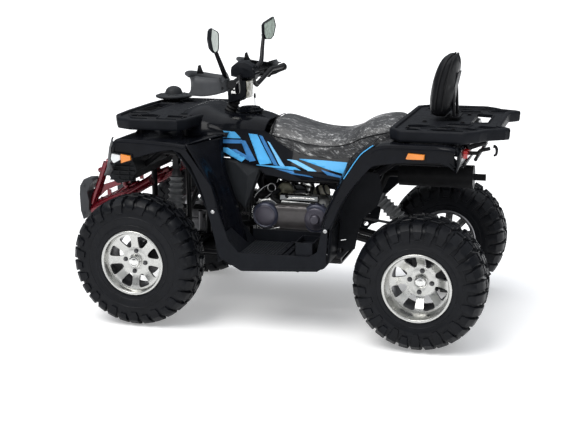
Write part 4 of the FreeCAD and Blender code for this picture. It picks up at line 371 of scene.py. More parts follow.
def rounded(points, radius, n=4):
    """The outline with each corner rounded, by that radius or one of its own given as a third number."""
    out = []
    for k, point in enumerate(points):
        a, b, c = (Vector(points[(k + j) % len(points)][:2]) for j in (-1, 0, 1))
        out += corner(a, b, c, point[2] if len(point) > 2 else radius, n, 0.48, 88, 65)
    return [tuple(p) for p in out]


def bend_points(points, bend, n=6):
    """The points of an open line with its corners rounded."""
    pts = [Vector(p) for p in points]
    out = [pts[0]]
    for a, b, c in zip(pts, pts[1:], pts[2:]):
        out += corner(a, b, c, bend, n, 0.45, 89)
    return [*out, pts[-1]]


def smooth_line(points, n=6):
    """A Catmull-Rom line through the points."""
    pts = [Vector(p) for p in points]
    out = []
    for p0, p1, p2, p3 in zip([pts[0], *pts], pts, pts[1:], [*pts[2:], pts[-1]]):
        for t in (k / n for k in range(n)):
            out.append(0.5 * ((2 * p1) + (p2 - p0) * t + (2 * p0 - 5 * p1 + 4 * p2 - p3) * t * t
                              + (3 * p1 - p0 - 3 * p2 + p3) * t ** 3))
    return [*out, pts[-1]]


def smooth_grid(rows, n):
    """Rows of equal length with smooth lines run through them."""
    return [list(row) for row in zip(*(smooth_line(column, n) for column in zip(*rows)))]


def inside(point, loop):
    """Whether a point lies within a closed outline."""
    within = False
    for (x0, y0), (x1, y1) in zip(loop, [*loop[1:], loop[0]]):
        if (y0 > point.y) != (y1 > point.y) and point.x < x0 + (x1 - x0) * (point.y - y0) / (y1 - y0):
            within = not within
    return within

def flat_sheet(outer, holes=(), cell=16, lines=()):
    """A flat face in (u, v) with holes, cut by a grid and by extra lines, kept as clean cells."""
    bm = bmesh.new()
    loops = [[Vector((p[0], p[1], 0)) for p in loop] for loop in [outer, *holes]]
    verts = [bm.verts.new(p) for loop in loops for p in loop]
    for tri in tessellate_polygon(loops):
        try:
            bm.faces.new([verts[i] for i in tri])
        except ValueError:
            pass
    bmesh.ops.recalc_face_normals(bm, faces=bm.faces)
    if sum(f.normal.z for f in bm.faces) < 0:
        bmesh.ops.reverse_faces(bm, faces=bm.faces)
    old = bm.edges.layers.int.new("old")
    for e in bm.edges:
        e[old] = len(e.link_faces) == 2
    cuts = []
    for axis in (0, 1) if cell else ():
        low, high = min(p[axis] for p in outer), max(p[axis] for p in outer)
        count = max(1, round((high - low) / cell))
        normal = Vector((1 - axis, axis, 0))
        cuts += [(normal * (low + (high - low) * k / count), normal) for k in range(1, count)]
    for a, b in lines:
        cuts.append((Vector((*a, 0)), Vector((a[1] - b[1], b[0] - a[0], 0)).normalized()))
    for place, normal in cuts:
        done = bmesh.ops.bisect_plane(bm, geom=bm.verts[:] + bm.edges[:] + bm.faces[:], dist=1e-4, plane_co=place,
                                      plane_no=normal)
        for item in done["geom_cut"]:
            if isinstance(item, bmesh.types.BMEdge):
                item[old] = 0
    stray = [f for f in bm.faces if not inside(f.calc_center_median(), outer)]
    bmesh.ops.delete(bm, geom=stray, context="FACES")
    loose = [e for e in bm.edges if e[old] == 1 and len(e.link_faces) == 2]
    if loose:
        bmesh.ops.dissolve_edges(bm, edges=loose, use_verts=False)
    bmesh.ops.dissolve_degenerate(bm, dist=1e-4, edges=bm.edges)
    return bm


def shell(name, outer, surface, thick, slot, mat, holes=(), cell=16, lines=(), bevel=1.2, mirror=False, replaces=(),
          segments=2):
    """A moulded sheet: a flat outline bent onto a surface and given a thickness. surface(u, v) gives a point."""
    bm = flat_sheet(outer, holes, cell, lines)
    for v in bm.verts:
        v.co = Vector(surface(v.co.x, v.co.y))
    bm.normal_update()
    facing = sum((f.normal * f.calc_area() for f in bm.faces), Vector())
    if max(facing.y, facing.z, key=abs) < 0:
        bmesh.ops.reverse_faces(bm, faces=bm.faces)
    if mirror:
        mirror_y(bm)
    piece(bm, name, "chassis", slot, mat, replaces, angle=40, bevel=bevel, thick=thick, offset=-1, as_is=True,
          segments=segments)


def bridge(bm, first, second, closed=True):
    """Quads between two rows of vertices."""
    n = len(first)
    for k in range(n if closed else n - 1):
        j = (k + 1) % n
        try:
            bm.faces.new([first[k], first[j], second[j], second[k]])
        except ValueError:
            pass


def loft(sections, closed=False, cap=False, bm=None):
    """Quads between sections of equal length. closed joins each section's ends, cap fills the first, last or both."""
    bm = bm or bmesh.new()
    rows = [[bm.verts.new(p) for p in section] for section in sections]
    for first, second in zip(rows, rows[1:]):
        bridge(bm, first, second, closed)
    if cap in (True, "first"):
        bm.faces.new(rows[0][::-1])
    if cap in (True, "last"):
        bm.faces.new(rows[-1])
    return bm


X, Y, Z = (Vector(unit) for unit in ((1, 0, 0), (0, 1, 0), (0, 0, 1)))


def axis_frame(axis):
    """Two directions across an axis, and the one along it."""
    if isinstance(axis, str):
        return {"X": (Y, Z, X), "Y": (X, Z, Y), "Z": (X, Y, Z)}[axis]
    along = Vector(axis).normalized()
    a = along.orthogonal().normalized()
    return a, along.cross(a), along


def spin(profile, centre=(0, 0, 0), axis="Y", n=64, closed=False, bm=None):
    """A turned form: profile is (radius, along) pairs round the axis through the centre."""
    bm = bm or bmesh.new()
    a, b, along = axis_frame(axis)
    rings = []
    for i in range(n):
        out = a * math.cos(math.tau * i / n) + b * math.sin(math.tau * i / n)
        rings.append([rings[0][k] if r <= 1e-6 and i else bm.verts.new(Vector(centre) + out * r + along * h)
                      for k, (r, h) in enumerate(profile)])
    m = len(profile)
    for p, q in zip(rings, rings[1:] + rings[:1]):
        for k in range(m if closed else m - 1):
            quad = list(dict.fromkeys((p[k], p[(k + 1) % m], q[(k + 1) % m], q[k])))
            if len(quad) > 2:
                try:
                    bm.faces.new(quad)
                except ValueError:
                    pass
    return bm


def bar(bm, start, end, radius, n=12):
    """A round bar with its edges broken."""
    run = Vector(end) - Vector(start)
    edge = min(radius * 0.15, run.length * 0.2)
    return spin([(0, 0), (radius - edge, 0), (radius, edge), (radius, run.length - edge), (radius - edge, run.length),
                 (0, run.length)], start, run, n, bm=bm)


def sweep_tube(bm, points, radius, n=14):
    """A round tube along points, its rings turned as little as may be. The radius may be a function of the way."""
    pts = [Vector(p) for p in points]
    rings = []
    side = None
    for k, p in enumerate(pts):
        run = (pts[min(k + 1, len(pts) - 1)] - pts[max(k - 1, 0)]).normalized()
        side = side or run.orthogonal().normalized()
        side = (side - run * side.dot(run)).normalized()
        up = run.cross(side)
        r = radius(k / (len(pts) - 1)) if callable(radius) else radius
        rings.append([p + (side * c + up * s) * r for c, s in circle(n, 1)])
    return loft(rings, closed=True, cap=True, bm=bm)


def prism(bm, outline, low, high, plane="XZ", taper=0.0):
    """A straight block: an outline in a plane, from low to high on the third axis, where it may be smaller."""
    cu, cv = (sum(p[i] for p in outline) / len(outline) for i in (0, 1))

    def ring(h, share):
        flat = [(cu + (p[0] - cu) * share, cv + (p[1] - cv) * share) for p in outline]
        return [{"XZ": (u, h, v), "XY": (u, v, h), "YZ": (h, u, v)}[plane] for u, v in flat]

    return loft([ring(low, 1), ring(high, 1 - taper)], closed=True, cap=True, bm=bm)


def block(bm, low, high, corner_r):
    """A box with rounded corners, drawn along Y."""
    prism(bm, rounded(rect(low[0], low[2], high[0], high[2]), corner_r, 3), low[1], high[1])


def torus(bm, centre, axis, radius, tube, n=40, m=10):
    spin(circle(m, tube, (radius, 0)), centre, axis, n, closed=True, bm=bm)


def bolt(bm, at, axis=(0, 1, 0), radius=7, height=5, washer=True, hexed=True):
    """A bolt head: a washer, a hexagon or a domed cap, looking along the axis."""
    at, axis = Vector(at), Vector(axis).normalized()
    if washer:
        spin([(0, 0), (radius * 1.45, 0), (radius * 1.5, 0.6), (radius * 1.45, 1.4), (0, 1.4)], at, axis, 16, bm=bm)
    if hexed:
        a, b, _ = axis_frame(axis)
        loft([[at + (a * c + b * s) * radius * share + axis * h for c, s in circle(6, 1)]
              for share, h in ((1, 1), (1, height - 0.8), (0.86, height))], closed=True, cap=True, bm=bm)
    else:
        spin([(0, height), (radius * 0.45, height), (radius * 0.5, height - 1.5), (radius * 0.62, height - 0.2),
              (radius * 0.9, height * 0.6), (radius, 0.5), (radius, 0)], at, axis, 18, bm=bm)
    return bm


def mix(a, b, t):
    return a + (b - a) * t


def soft(t):
    t = max(0.0, min(1.0, t))
    return t * t * (3 - 2 * t)


def line_at(points, x):
    """The value at x of a line given by (x, value) pairs."""
    points = sorted(points)
    if x <= points[0][0]:
        return points[0][1]
    for (x0, v0), (x1, v1) in zip(points, points[1:]):
        if x <= x1:
            return mix(v0, v1, (x - x0) / (x1 - x0))
    return points[-1][1]



# wheels: centre, radius, half width, half width at the lip, where the web lies, how far it rises, CAD nodes

WHEELS = {"wheel_front_l": ((595, 416, 288), 288, 91, 80.9, 42.9, 14, ("tyre_front_left", "rim_front_left")),
          "wheel_front_r": ((595, -416, 288), 288, 91, 80.9, 42.9, 14, ("tyre_front_right", "rim_front_right")),
          "axle_rear_l": ((-645, 400, 275), 275, 123, 109.7, 2.7, 34, ("rear_tyres", "rear_rims")),
          "axle_rear_r": ((-645, -400, 275), 275, 123, 109.7, 2.7, 34, ())}
LIP = 140
LUG_COUNT, LUG_HEIGHT = 15, 12.2
WALL_RING_RISE = ((LIP + 26, 1.3), (LIP + 62, 1.0))
NUBS = 34


def tyre_line(radius, half, lip_half):
    """The tyre's outline from the crown to the lip, and a function that gives a place on it with its normal."""
    base = radius - 12.5
    wall = half - 4.5
    points = [(base, 0), (base - 1.2, 0.38 * half), (base - 5, 0.62 * half), (base - 13, 0.80 * half),
              (base - 27, 0.915 * half), (base - 48, wall - 1.5), (base - 74, wall), (LIP + 36, wall - 2),
              (LIP + 20, lip_half + 4.5), (LIP + 9, lip_half + 3.5), (LIP + 1, lip_half - 2), (LIP - 3, lip_half - 8)]
    line = [(p.x, p.y) for p in smooth_line([(r, y, 0) for r, y in points], 6)]
    lengths = [0.0]
    for a, b in zip(line, line[1:]):
        lengths.append(lengths[-1] + math.dist(a, b))

    def at(s):
        side = -1 if s < 0 else 1
        s = min(abs(s), lengths[-1] - 1e-3)
        k = min(max(i for i, d in enumerate(lengths) if d <= s), len(line) - 2)
        f = (s - lengths[k]) / (lengths[k + 1] - lengths[k])
        r, y = (mix(line[k][i], line[k + 1][i], f) for i in (0, 1))
        a, b = line[max(k - 1, 0)], line[min(k + 2, len(line) - 1)]
        tangent = Vector((b[0] - a[0], b[1] - a[1])).normalized()
        return r, y * side, tangent.y, -tangent.x * side
    return line, at, lengths[-1]


def lug(bm, at, stations, turn, side, centre):
    """One tread block: its stations run across the tyre, each with where it starts and ends round it."""
    layers = []
    last = len(stations) - 1
    for lift, inset in ((-2.0, -0.8), (LUG_HEIGHT - 2.2, 0.5), (LUG_HEIGHT, 2.6)):
        left, right = [], []
        for k, (s, a, b) in enumerate(stations):
            r, y, nr, ny = at(s + (inset if k == 0 else -inset if k == last else 0))
            r, y = r + nr * lift, (y + ny * lift) * side
            for share, target, sign in ((a, left, 1), (b, right, -1)):
                t = turn + math.tau / LUG_COUNT * share + sign * inset / r
                target.append(bm.verts.new((centre[0] + r * math.cos(t), centre[1] + y, centre[2] + r * math.sin(t))))
        layers.append(left + right[::-1])
    for first, second in zip(layers, layers[1:]):
        bridge(bm, first, second)
    bridge(bm, left, right, closed=False)


def tyre(name, body, centre, radius, half, lip_half, replaces):
    line, at, length = tyre_line(radius, half, lip_half)
    bm = bmesh.new()
    profile = [(r, -y) for r, y in line[::-1]] + line[1:]
    profile += [(LIP - 10, lip_half - 12), (LIP - 12, -(lip_half - 12))]
    spin(profile, centre, "Y", 112, closed=True, bm=bm)
    k = half / 91
    ease = 0 if half < 100 else 6  # the wide tyres' shoulder blocks sit further out
    beside = [[(46 * k, 0.05, 0.40), (60 * k, 0.09, 0.45), (74 * k, 0.04, 0.42), (88 * k, 0.07, 0.45),
               (102 * k + ease, 0.05, 0.40), (120 * k + ease, 0.12, 0.38)],
              [(40 * k, 0.54, 0.87), (58 * k, 0.56, 0.93), (74 * k, 0.53, 0.90), (90 * k, 0.57, 0.94),
               (106 * k + ease, 0.62, 0.88)],
              [(20 * k, 0.16, 0.48), (36 * k, 0.10, 0.42)], [(17 * k, 0.66, 0.96), (31 * k, 0.60, 0.90)]]
    middle = [[(-12 * k, 0.30, 0.62), (0.5, 0.36, 0.68), (12 * k, 0.30, 0.60)],
              [(-10 * k, 0.84, 1.10), (10 * k, 0.80, 1.06)]]
    for side, shift, blocks in ((-1, 0.25, beside), (1, 0, beside), (1, 0, middle)):
        for i in range(LUG_COUNT):
            for stations in blocks:
                lug(bm, at, stations, (i + shift) * math.tau / LUG_COUNT, side, centre)

    def wall_at(r):
        """How far along the outline the sidewall has come in to the radius r."""
        return next(d for d in (length * q / 400 for q in range(400)) if at(d)[0] < r and d > 60)

    for side in SIDES:
        for r_ring, rise in WALL_RING_RISE:
            ring = []
            for lift, ds in ((-0.5, -3.2), (rise, -1.2), (rise, 1.2), (-0.5, 3.2)):
                r, y, nr, ny = at(wall_at(r_ring) + ds)
                ring.append((r + nr * lift, (y + ny * lift) * side))
            spin(ring, centre, "Y", 112, bm=bm)
        for i in range(NUBS):
            r, y, nr, ny = at(wall_at(LIP + 40 + 34 * ((i * 0.618) % 1)))
            t = math.tau * i / NUBS + 0.3 * math.sin(i * 7.1)
            c, s = math.cos(t), math.sin(t)
            spin([(1.6, -0.6), (1.2, 1.3), (0, 2.0)], (centre[0] + r * c, centre[1] + y * side, centre[2] + r * s),
                 (c * nr, ny * side, s * nr), 6, bm=bm)
    for v in bm.verts:
        v.co.y = centre[1] + max(-half, min(half, v.co.y - centre[1]))
    piece(bm, name, body, "tyre_rubber", "tyre", replaces, angle=38, origin=centre)


def rim(name, body, centre, half_lip, web, rise, side, replaces):
    """A pressed wheel: the web with its slots, the lip, the barrel and ribs behind, the cap and the nuts."""
    cx, cy, cz = centre
    face = half_lip + 6

    def made(bm, part, mat, angle, replaces=(), slot="rim_alloy", **more):
        piece(bm, f"{name}_{part}", body, slot, mat, replaces, angle=angle, origin=centre, **more)

    def turned(profile, n, bm=None, closed=False):
        return spin([(r, side * y) for r, y in profile], centre, "Y", n, closed=closed, bm=bm)

    def place(r, y, t):
        return cx + r * math.cos(t), cy + side * y, cz + r * math.sin(t)

    slot = []
    for c, d in circle(28, 1):
        c, d = math.copysign(abs(c) ** 0.55, c), math.copysign(abs(d) ** 0.55, -d)
        slot.append((90.5 + 28 * c, d * (9 + 21 * (90.5 + 28 * c - 62) / 57)))
    holes = []
    for c, s in circle(8, 1, turn=math.pi / 8):
        holes.append([(u * c - v * s, u * s + v * c) for u, v in slot])
    holes += [circle(14, 6.5, at) for at in circle(4, 46, turn=0.12)]
    bm = flat_sheet(circle(96, 126), holes, cell=9)
    for v in bm.verts:
        r = math.hypot(v.co.x, v.co.y)
        out = web + rise * soft((r - 60) / 62) + 2.5 * math.exp(-((r - 44) / 12) ** 2)
        v.co = Vector((cx + v.co.x, cy + side * out, cz + v.co.y))
    if side > 0:
        bmesh.ops.reverse_faces(bm, faces=bm.faces)
    made(bm, "web", "alloy", 30, replaces, bevel=1.6, thick=9, offset=-1, as_is=True, segments=3)
    made(turned([(126.0, web + rise - 8), (126.2, web + rise + 3), (127.0, face - 22), (128.0, face - 14),
                 (131.0, face - 6), (131.6, face - 2.5), (133.0, face - 0.8), (135.5, face), (140.0, face),
                 (142.5, face - 1.2), (143.6, face - 3.6), (143.0, face - 6.5), (139.5, face - 10),
                 (136.0, face - 14)], 128), "lip", "alloy", 50)
    bm = turned([(126.0, web + rise - 6), (121.0, web + rise - 14), (119.0, 0 if web > 20 else -20),
                 (121, -half_lip + 25), (127, -half_lip + 12), (134, -half_lip - 2), (138.5, -half_lip - 6),
                 (142.5, -half_lip - 4.5), (143, -half_lip), (136, -half_lip + 10), (131, -half_lip + 26), (129.5, 0),
                 (130, web + rise)], 96, closed=True)
    turned([(26, web - 4), (52, web - 6), (54, web - 20), (50, web - 30), (26, web - 30)], 48, bm, closed=True)
    for c, s in circle(8, 1):
        ends = []
        for r, low, high in ((50, web - 26, web - 7), (122, web + rise - 22, web + rise - 8)):
            ends.append([(cx + r * c - w * s, cy + side * y, cz + r * s + w * c)
                         for w, y in ((-4.5, low), (-4.5, high), (4.5, high), (4.5, low))])
        loft(ends, closed=True, cap=True, bm=bm)
    made(bm, "barrel", "alloy_in", 40)
    made(turned([(30, web - 1), (30, web + 4), (28.5, web + 6.5), (26.5, web + 7), (25.6, web + 9), (24.8, web + 17),
                 (22.5, web + 20.5), (18, web + 22.3), (15.5, web + 21.6), (14.5, web + 21.8), (9, web + 23.2),
                 (0, web + 23.8)], 48), "cap", "polished", 24)
    bm = bmesh.new()
    for i in range(4):
        at = place(46, web - 2, math.tau * i / 4 + 0.12)
        out = (0, side, 0)
        spin([(0, 2), (9.4, 2), (10.6, 2.8), (10.8, 4.2), (10, 5), (0, 5)], at, out, 20, bm=bm)
        bolt(bm, (at[0], at[1] + side * 4, at[2]), out, 8.0, 10, washer=False)
        spin([(0, 17.5), (2.6, 17.5), (3.4, 16.5), (3.4, 10)], at, out, 12, bm=bm)
    sweep_tube(bm, [place(124, face - 26, 2.1), place(121, face - 16, 2.1), place(118, face - 2, 2.1)], 3.2, 10)
    made(bm, "nuts", "dark_steel", 30, slot="steel")


for key, (centre, radius, half, lip_half, web, rise, nodes) in WHEELS.items():
    body = "axle_rear" if key.startswith("axle") else key
    side = 1 if centre[1] > 0 else -1
    tyre(key + "_tyre", body, centre, radius, half, lip_half, nodes[:1])
    rim(key + "_rim", body, centre, lip_half, web, rise, side, nodes[1:])


# body shells

# left halves in (y, z) at each x, from the front to the back
HOOD_SECTIONS = [
    (722, [(0, 802), (60, 801), (120, 798), (158, 792), (176, 786), (184, 778), (181, 750)]),
    (690, [(0, 812), (60, 811), (120, 807), (160, 800), (180, 792), (188, 780), (185, 752)]),
    (640, [(0, 824), (50, 823), (112, 818), (160, 808), (188, 798), (198, 784), (195, 756)]),
    (590, [(0, 842), (46, 842), (104, 836), (156, 822), (192, 808), (206, 790), (203, 762)]),
    (550, [(0, 862), (44, 863), (98, 857), (152, 838), (194, 818), (212, 796), (209, 768)]),
    (510, [(0, 886), (44, 888), (98, 882), (152, 860), (196, 834), (220, 802), (217, 774)]),
    (470, [(0, 908), (46, 911), (102, 906), (158, 884), (204, 850), (228, 808), (225, 780)]),
    (430, [(0, 922), (46, 925), (108, 920), (168, 898), (210, 860), (234, 814), (231, 786)]),
    (385, [(0, 924), (52, 927), (112, 922), (172, 900), (216, 864), (240, 820), (237, 792)]),
    (340, [(0, 905), (62, 908), (118, 905), (172, 892), (214, 866), (238, 826), (235, 798)]),
    (290, [(0, 888), (70, 891), (118, 890), (160, 881), (204, 861), (232, 824), (229, 796)]),
    (240, [(0, 889), (70, 891), (112, 889), (152, 877), (194, 854), (224, 818), (221, 790)]),
    (180, [(0, 888), (66, 889), (106, 885), (146, 871), (184, 845), (216, 808), (213, 780)]),
    (130, [(0, 879), (60, 880), (98, 874), (136, 858), (172, 831), (206, 794), (203, 766)]),
    (96, [(0, 868), (56, 869), (92, 862), (128, 845), (162, 816), (198, 778), (195, 750)]),
]
HOOD_ROWS = [both_halves(smooth_line([(x, y, z) for y, z in half], 4)) for x, half in HOOD_SECTIONS]
piece(loft(smooth_grid(HOOD_ROWS, 4)), "tank_shell", "chassis", "black_gloss", "gloss", "tank_cover", angle=50,
      thick=4, offset=-1)

# the side panel: its upper edge, how far it stands out there, how it slopes below and where its crease runs
PANEL_TOP = [(-380, 782), (-309, 738), (-200, 727), (-100, 735), (-35, 752), (20, 790), (81, 838), (200, 846),
             (318, 850)]
PANEL_OUT = [(-380, 214), (-300, 196), (-150, 190), (-35, 186), (81, 196), (180, 212), (318, 216)]
PANEL_SLOPE = [(-380, 0.42), (-200, 0.70), (0, 0.62), (120, 0.44), (300, 0.36)]
PANEL_CREASE = [(-380, 700), (-150, 672), (60, 716), (300, 776)]
CUT_LINES = list(zip(PANEL_CREASE[:0:-1], PANEL_CREASE[-2::-1]))


def panel_y(x, z):
    top = line_at(PANEL_TOP, x)
    y = line_at(PANEL_OUT, x) + max(0.0, top - z) * line_at(PANEL_SLOPE, x)
    return min(y - max(0.0, line_at(PANEL_CREASE, x) - z) * 0.30, 282)


def panel_point(lift=0.0):
    return lambda x, z: (x, panel_y(x, z) + lift, z)


def panel_strip(name, outline, corner_r, n, lift, thick, slot, mat, lines=CUT_LINES, cell=12, **more):
    shell(name, rounded(outline, corner_r, n), panel_point(lift), thick, slot, mat, cell=cell, lines=lines, mirror=True,
          **more)


PANEL_EDGE = [(318, 849, 6), (300, 800, 8), (288, 766, 4), (232, 734, 10), (174, 704, 10), (73, 690, 30),
              (40, 676, 20), (-4, 655, 20), (-96, 642, 30), (-210, 640, 20), (-292, 640, 6), (-312, 690, 8),
              (-330, 730, 12), (-372, 782, 10), (-340, 766, 10), (-309, 738, 14), (-200, 727, 60), (-100, 735, 60),
              (-35, 752, 40), (22, 790, 30), (60, 826, 20), (82, 838, 14), (200, 846, 60)]
panel_strip("side_cover", PANEL_EDGE, 8, 5, 0.0, 4.5, "black_gloss", "gloss", cell=15, replaces="side_panels",
            bevel=1.6)

# plain slanted stripes and chevrons in blues, in (x, z) on the side panel
for name, tone, outline in (
        ("a", "light", [(296, 836), (210, 832), (180, 806), (262, 806)]),
        ("b", "dark", [(270, 800), (176, 800), (160, 786), (262, 784)]),
        ("c", "light", [(290, 764), (236, 766), (150, 726), (170, 708), (230, 736)]),
        ("d", "dark", [(222, 760), (196, 760), (118, 722), (140, 714)]),
        ("e", "light", [(150, 826), (112, 822), (36, 706), (86, 700)]),
        ("f", "dark", [(104, 820), (88, 816), (8, 694), (28, 700)]),
        ("g", "dark", [(180, 798), (160, 796), (106, 716), (134, 710)]),
        ("h", "pale", [(66, 796), (56, 790), (-20, 690), (0, 692)]),
        ("i", "light", [(120, 700), (-60, 690), (-104, 668), (70, 694)]),
        ("j", "dark", [(40, 686), (-110, 664), (-150, 650), (-10, 664)]),
        ("k", "light", [(-70, 722), (-306, 716), (-288, 668), (-190, 690)]),
        ("l", "dark", [(-176, 684), (-280, 658), (-284, 648), (-230, 648)]),
        ("m", "pale", [(-20, 720), (-64, 716), (-160, 676), (-120, 676)])):
    panel_strip("stripe_" + name, outline, 0.6, 2, 0.9, 0.5, "black_gloss", "decal_" + tone, bevel=0)

# the moulded strip under the seat and the one before it
panel_strip("side_rail", [(-180, 668), (-296, 652), (-292, 640), (-60, 664), (-52, 682)], 3, 3, 4.0, 5, "dark_plastic",
            "plastic")
panel_strip("side_rail_front", [(40, 690), (-40, 664), (-100, 640), (-70, 634), (60, 660), (96, 690)], 3, 3, 3.0, 6,
            "dark_plastic", "plastic", lines=())


def scoop():
    """The dark faceted air scoop before the engine."""
    bm = bmesh.new()
    outer = [(276, 236, 714), (188, 252, 712), (92, 240, 684), (128, 236, 590), (166, 232, 496), (208, 234, 540),
             (250, 238, 640)]
    o = [bm.verts.new(p) for p in outer]
    r = [bm.verts.new(p) for p in [(196, 264, 704), (142, 258, 648)]]
    i = [bm.verts.new((x - 4, y - 34, z)) for x, y, z in outer]
    for loop in ((o[0], o[1], r[0]), (o[1], r[1], r[0]), (o[1], o[2], r[1]), (o[2], o[3], r[1]), (o[3], o[4], r[1]),
                 (o[4], o[5], r[1]), (o[5], o[6], r[0], r[1]), (o[6], o[0], r[0])):
        bm.faces.new(loop)
    bridge(bm, i, o)
    bm.faces.new(i[::-1])
    mirror_y(bm)
    piece(bm, "scoop", "chassis", "dark_plastic", "grey_plastic", "lower_panels", angle=20, bevel=2.0, segments=3)


scoop()


# fenders

SIDE_FACE = 437  # how far out the fenders' sides stand


def sheet(rows, name, slot, mat, thick, mirror=True, angle=50, offset=0):
    """A lofted sheet with its mirror image."""
    bm = loft(rows)
    if mirror:
        mirror_y(bm)
    piece(bm, name, "chassis", slot, mat, angle=angle, thick=thick, offset=offset)


def deck(path, y_in, edge_r, name):
    """A sheet that follows a path in (x, z) and turns down over its outer edge with a radius."""
    y_out = SIDE_FACE + 1
    flat = y_out - edge_r
    ys = [y_in, mix(y_in, flat, 0.33), mix(y_in, flat, 0.66)]
    ys += [flat + edge_r * math.sin(math.radians(a)) for a in (0, 18, 36, 52, 66, 78, 90)]
    pts = smooth_line([(x, 0, z) for x, z in path], 3)
    rows = []
    for k, p in enumerate(pts):
        run = (pts[min(k + 1, len(pts) - 1)] - pts[max(k - 1, 0)]).normalized()
        inward = Vector((run.z, 0, -run.x))
        if inward.z > 0 and abs(run.x) > 0.5:
            inward = -inward
        drops = [edge_r - math.sqrt(max(0.0, edge_r ** 2 - max(0.0, y - flat) ** 2)) for y in ys]
        rows.append([Vector((p.x, y, p.z)) + inward * drop for y, drop in zip(ys, drops)])
    sheet(rows, name, "black_gloss", "gloss", 4, offset=-1)


def lip(name, path, y_out, y_in, mat):
    """The return of a flange: a strip along a path in (x, z), turned in from y_out to y_in."""
    sheet([[Vector((p.x, y, p.z)) for y in (y_out, (y_out + y_in) / 2, y_in)]
           for p in smooth_line([(x, 0, z) for x, z in path], 3)], name, "black_gloss", mat, 4, angle=60)


def flange(name, outline, surface, node):
    shell(name, rounded(outline, 8, 5), surface, 5, "black_gloss", "gloss", cell=18, mirror=True, bevel=2.2,
          replaces=node, segments=3)


def front_skin(x, z):
    tuck = 0.10 * max(0.0, 800 - z) * soft((x - 560) / 90)
    return x, SIDE_FACE + 3.0 * math.sin(math.pi * soft((z - 480) / 330)) - tuck, z


def rear_skin(x, z):
    tuck = 30 * soft((-700 - x) / 90) ** 2
    return x, SIDE_FACE + 3.0 * math.sin(math.pi * soft((z - 470) / 370)) - tuck, z


flange("front_flange", [
    (362, 806, 10), (500, 812, 60), (640, 815, 40), (684, 815, 8), (700, 780, 10), (712, 716, 5), (700, 704, 6),
    (600, 738, 60), (500, 768, 60), (424, 782, 24), (372, 784, 16), (330, 706, 40), (300, 640, 40), (276, 575, 20),
    (258, 500, 5), (220, 480, 5), (228, 560, 40), (244, 630, 30)], front_skin, "front_fender")
deck([(352, 800), (420, 808), (540, 815), (640, 817), (676, 816), (694, 800), (704, 762), (713, 716)], 196, 18,
     "front_deck")
lip("front_arch", [(704, 706), (600, 738), (500, 767), (424, 781), (372, 780), (330, 704), (300, 640), (276, 575),
                   (258, 500)], 436, 372, "plastic")
lip("front_leg_back", [(356, 804), (300, 716), (250, 630), (228, 560), (220, 482)], 436, 400, "gloss")


def across(outer, inner, n, bow, ridge=0):
    """Rows from one line to another, bowed forwards between them."""
    rows = []
    for p, q in zip(smooth_line(outer, 5), smooth_line(inner, 5)):
        rows.append([p.lerp(q, k / n) + Vector((bow * math.sin(math.pi * k / n) + (ridge if 3 <= k <= 5 else 0), 0, 0))
                     for k in range(n + 1)])
    return rows


# the gloss panel from each front fender's leg back and in to the tank
sheet(across([(356, 436, 806), (300, 437, 716), (250, 437, 630), (226, 437, 560), (212, 437, 480), (193, 437, 381),
              (176, 436, 352)],
             [(252, 262, 812), (246, 276, 760), (234, 286, 690), (204, 290, 600), (172, 292, 500), (146, 292, 400),
              (136, 292, 352)], 8, 16, 4), "leg_shield", "black_gloss", "gloss", 4)


def shoulder():
    """The shelf between the front deck, the shields' tops and the hood's sides."""
    rows = []
    for t in (k / 8 for k in range(9)):
        ahead = Vector((356, mix(438, 216, t), mix(805, 812, t)))
        back = Vector((mix(354, 250, t), mix(437, 250, t), mix(806, 822, t)))
        rows.append([ahead.lerp(back, j / 3) + Vector((0, 0, 5 * math.sin(math.pi * j / 3) * t)) for j in range(4)])
    bm = loft(rows)
    loft([[(x, y, z) for y, z in ((252, 812), (240, 826), (222, 828))] for x in (360, 320, 280, 250, 236)], bm=bm)
    mirror_y(bm)
    piece(bm, "front_shoulder", "chassis", "black_gloss", "gloss", angle=50, thick=3, offset=0)


shoulder()


def liner(name, path, ys, step):
    """The liner over each wheel of a pair, from the deck down behind or before the wheel."""
    sheet([[(p.x + step * k, y, p.z - abs(step) * k) for k, y in enumerate(ys)]
           for p in smooth_line([(x, 0, z) for x, z in path], 4)], name, "dark_plastic", "plastic", 3.5)


liner("front_liner", [(690, 770), (620, 792), (520, 796), (430, 788), (372, 730), (322, 650), (284, 560), (254, 490),
                      (236, 400), (222, 300)], (430, 340, 262, 228), -4)
flange("rear_flange", [
    (-238, 480, 5), (-262, 545, 20), (-330, 692, 40), (-392, 786, 40), (-430, 822, 30), (-478, 836, 30),
    (-690, 838, 60), (-776, 832, 14), (-779, 760, 8), (-770, 746, 6), (-715, 776, 30), (-556, 770, 60),
    (-443, 752, 40), (-362, 662, 50), (-312, 585, 40), (-280, 510, 8), (-268, 474, 5)], rear_skin, "rear_fender")
deck([(-424, 812), (-452, 830), (-500, 840), (-640, 842), (-740, 840), (-778, 832)], 180, 20, "rear_deck")
lip("rear_arch", [(-772, 748), (-715, 776), (-556, 770), (-443, 752), (-362, 662), (-312, 585), (-268, 474)], 436,
    360, "plastic")
REAR_LEG = [(-238, 437, 480), (-262, 438, 545), (-330, 438, 692), (-392, 438, 786), (-430, 437, 820), (-450, 434, 834)]
sheet(across(REAR_LEG, [(-222, 372, 490), (-246, 368, 560), (-300, 338, 690), (-322, 300, 752), (-376, 276, 800),
                        (-436, 250, 838)], 6, 7), "rear_leg_front", "black_gloss", "gloss", 4)
piece(mirror_y(sweep_tube(None, smooth_line([(x + 3, y + 2.0, z + 1.5) for x, y, z in REAR_LEG[2:]], 6), 2.0, 8)),
      "rear_trim", "chassis", "black_gloss", "decal_light", angle=50)
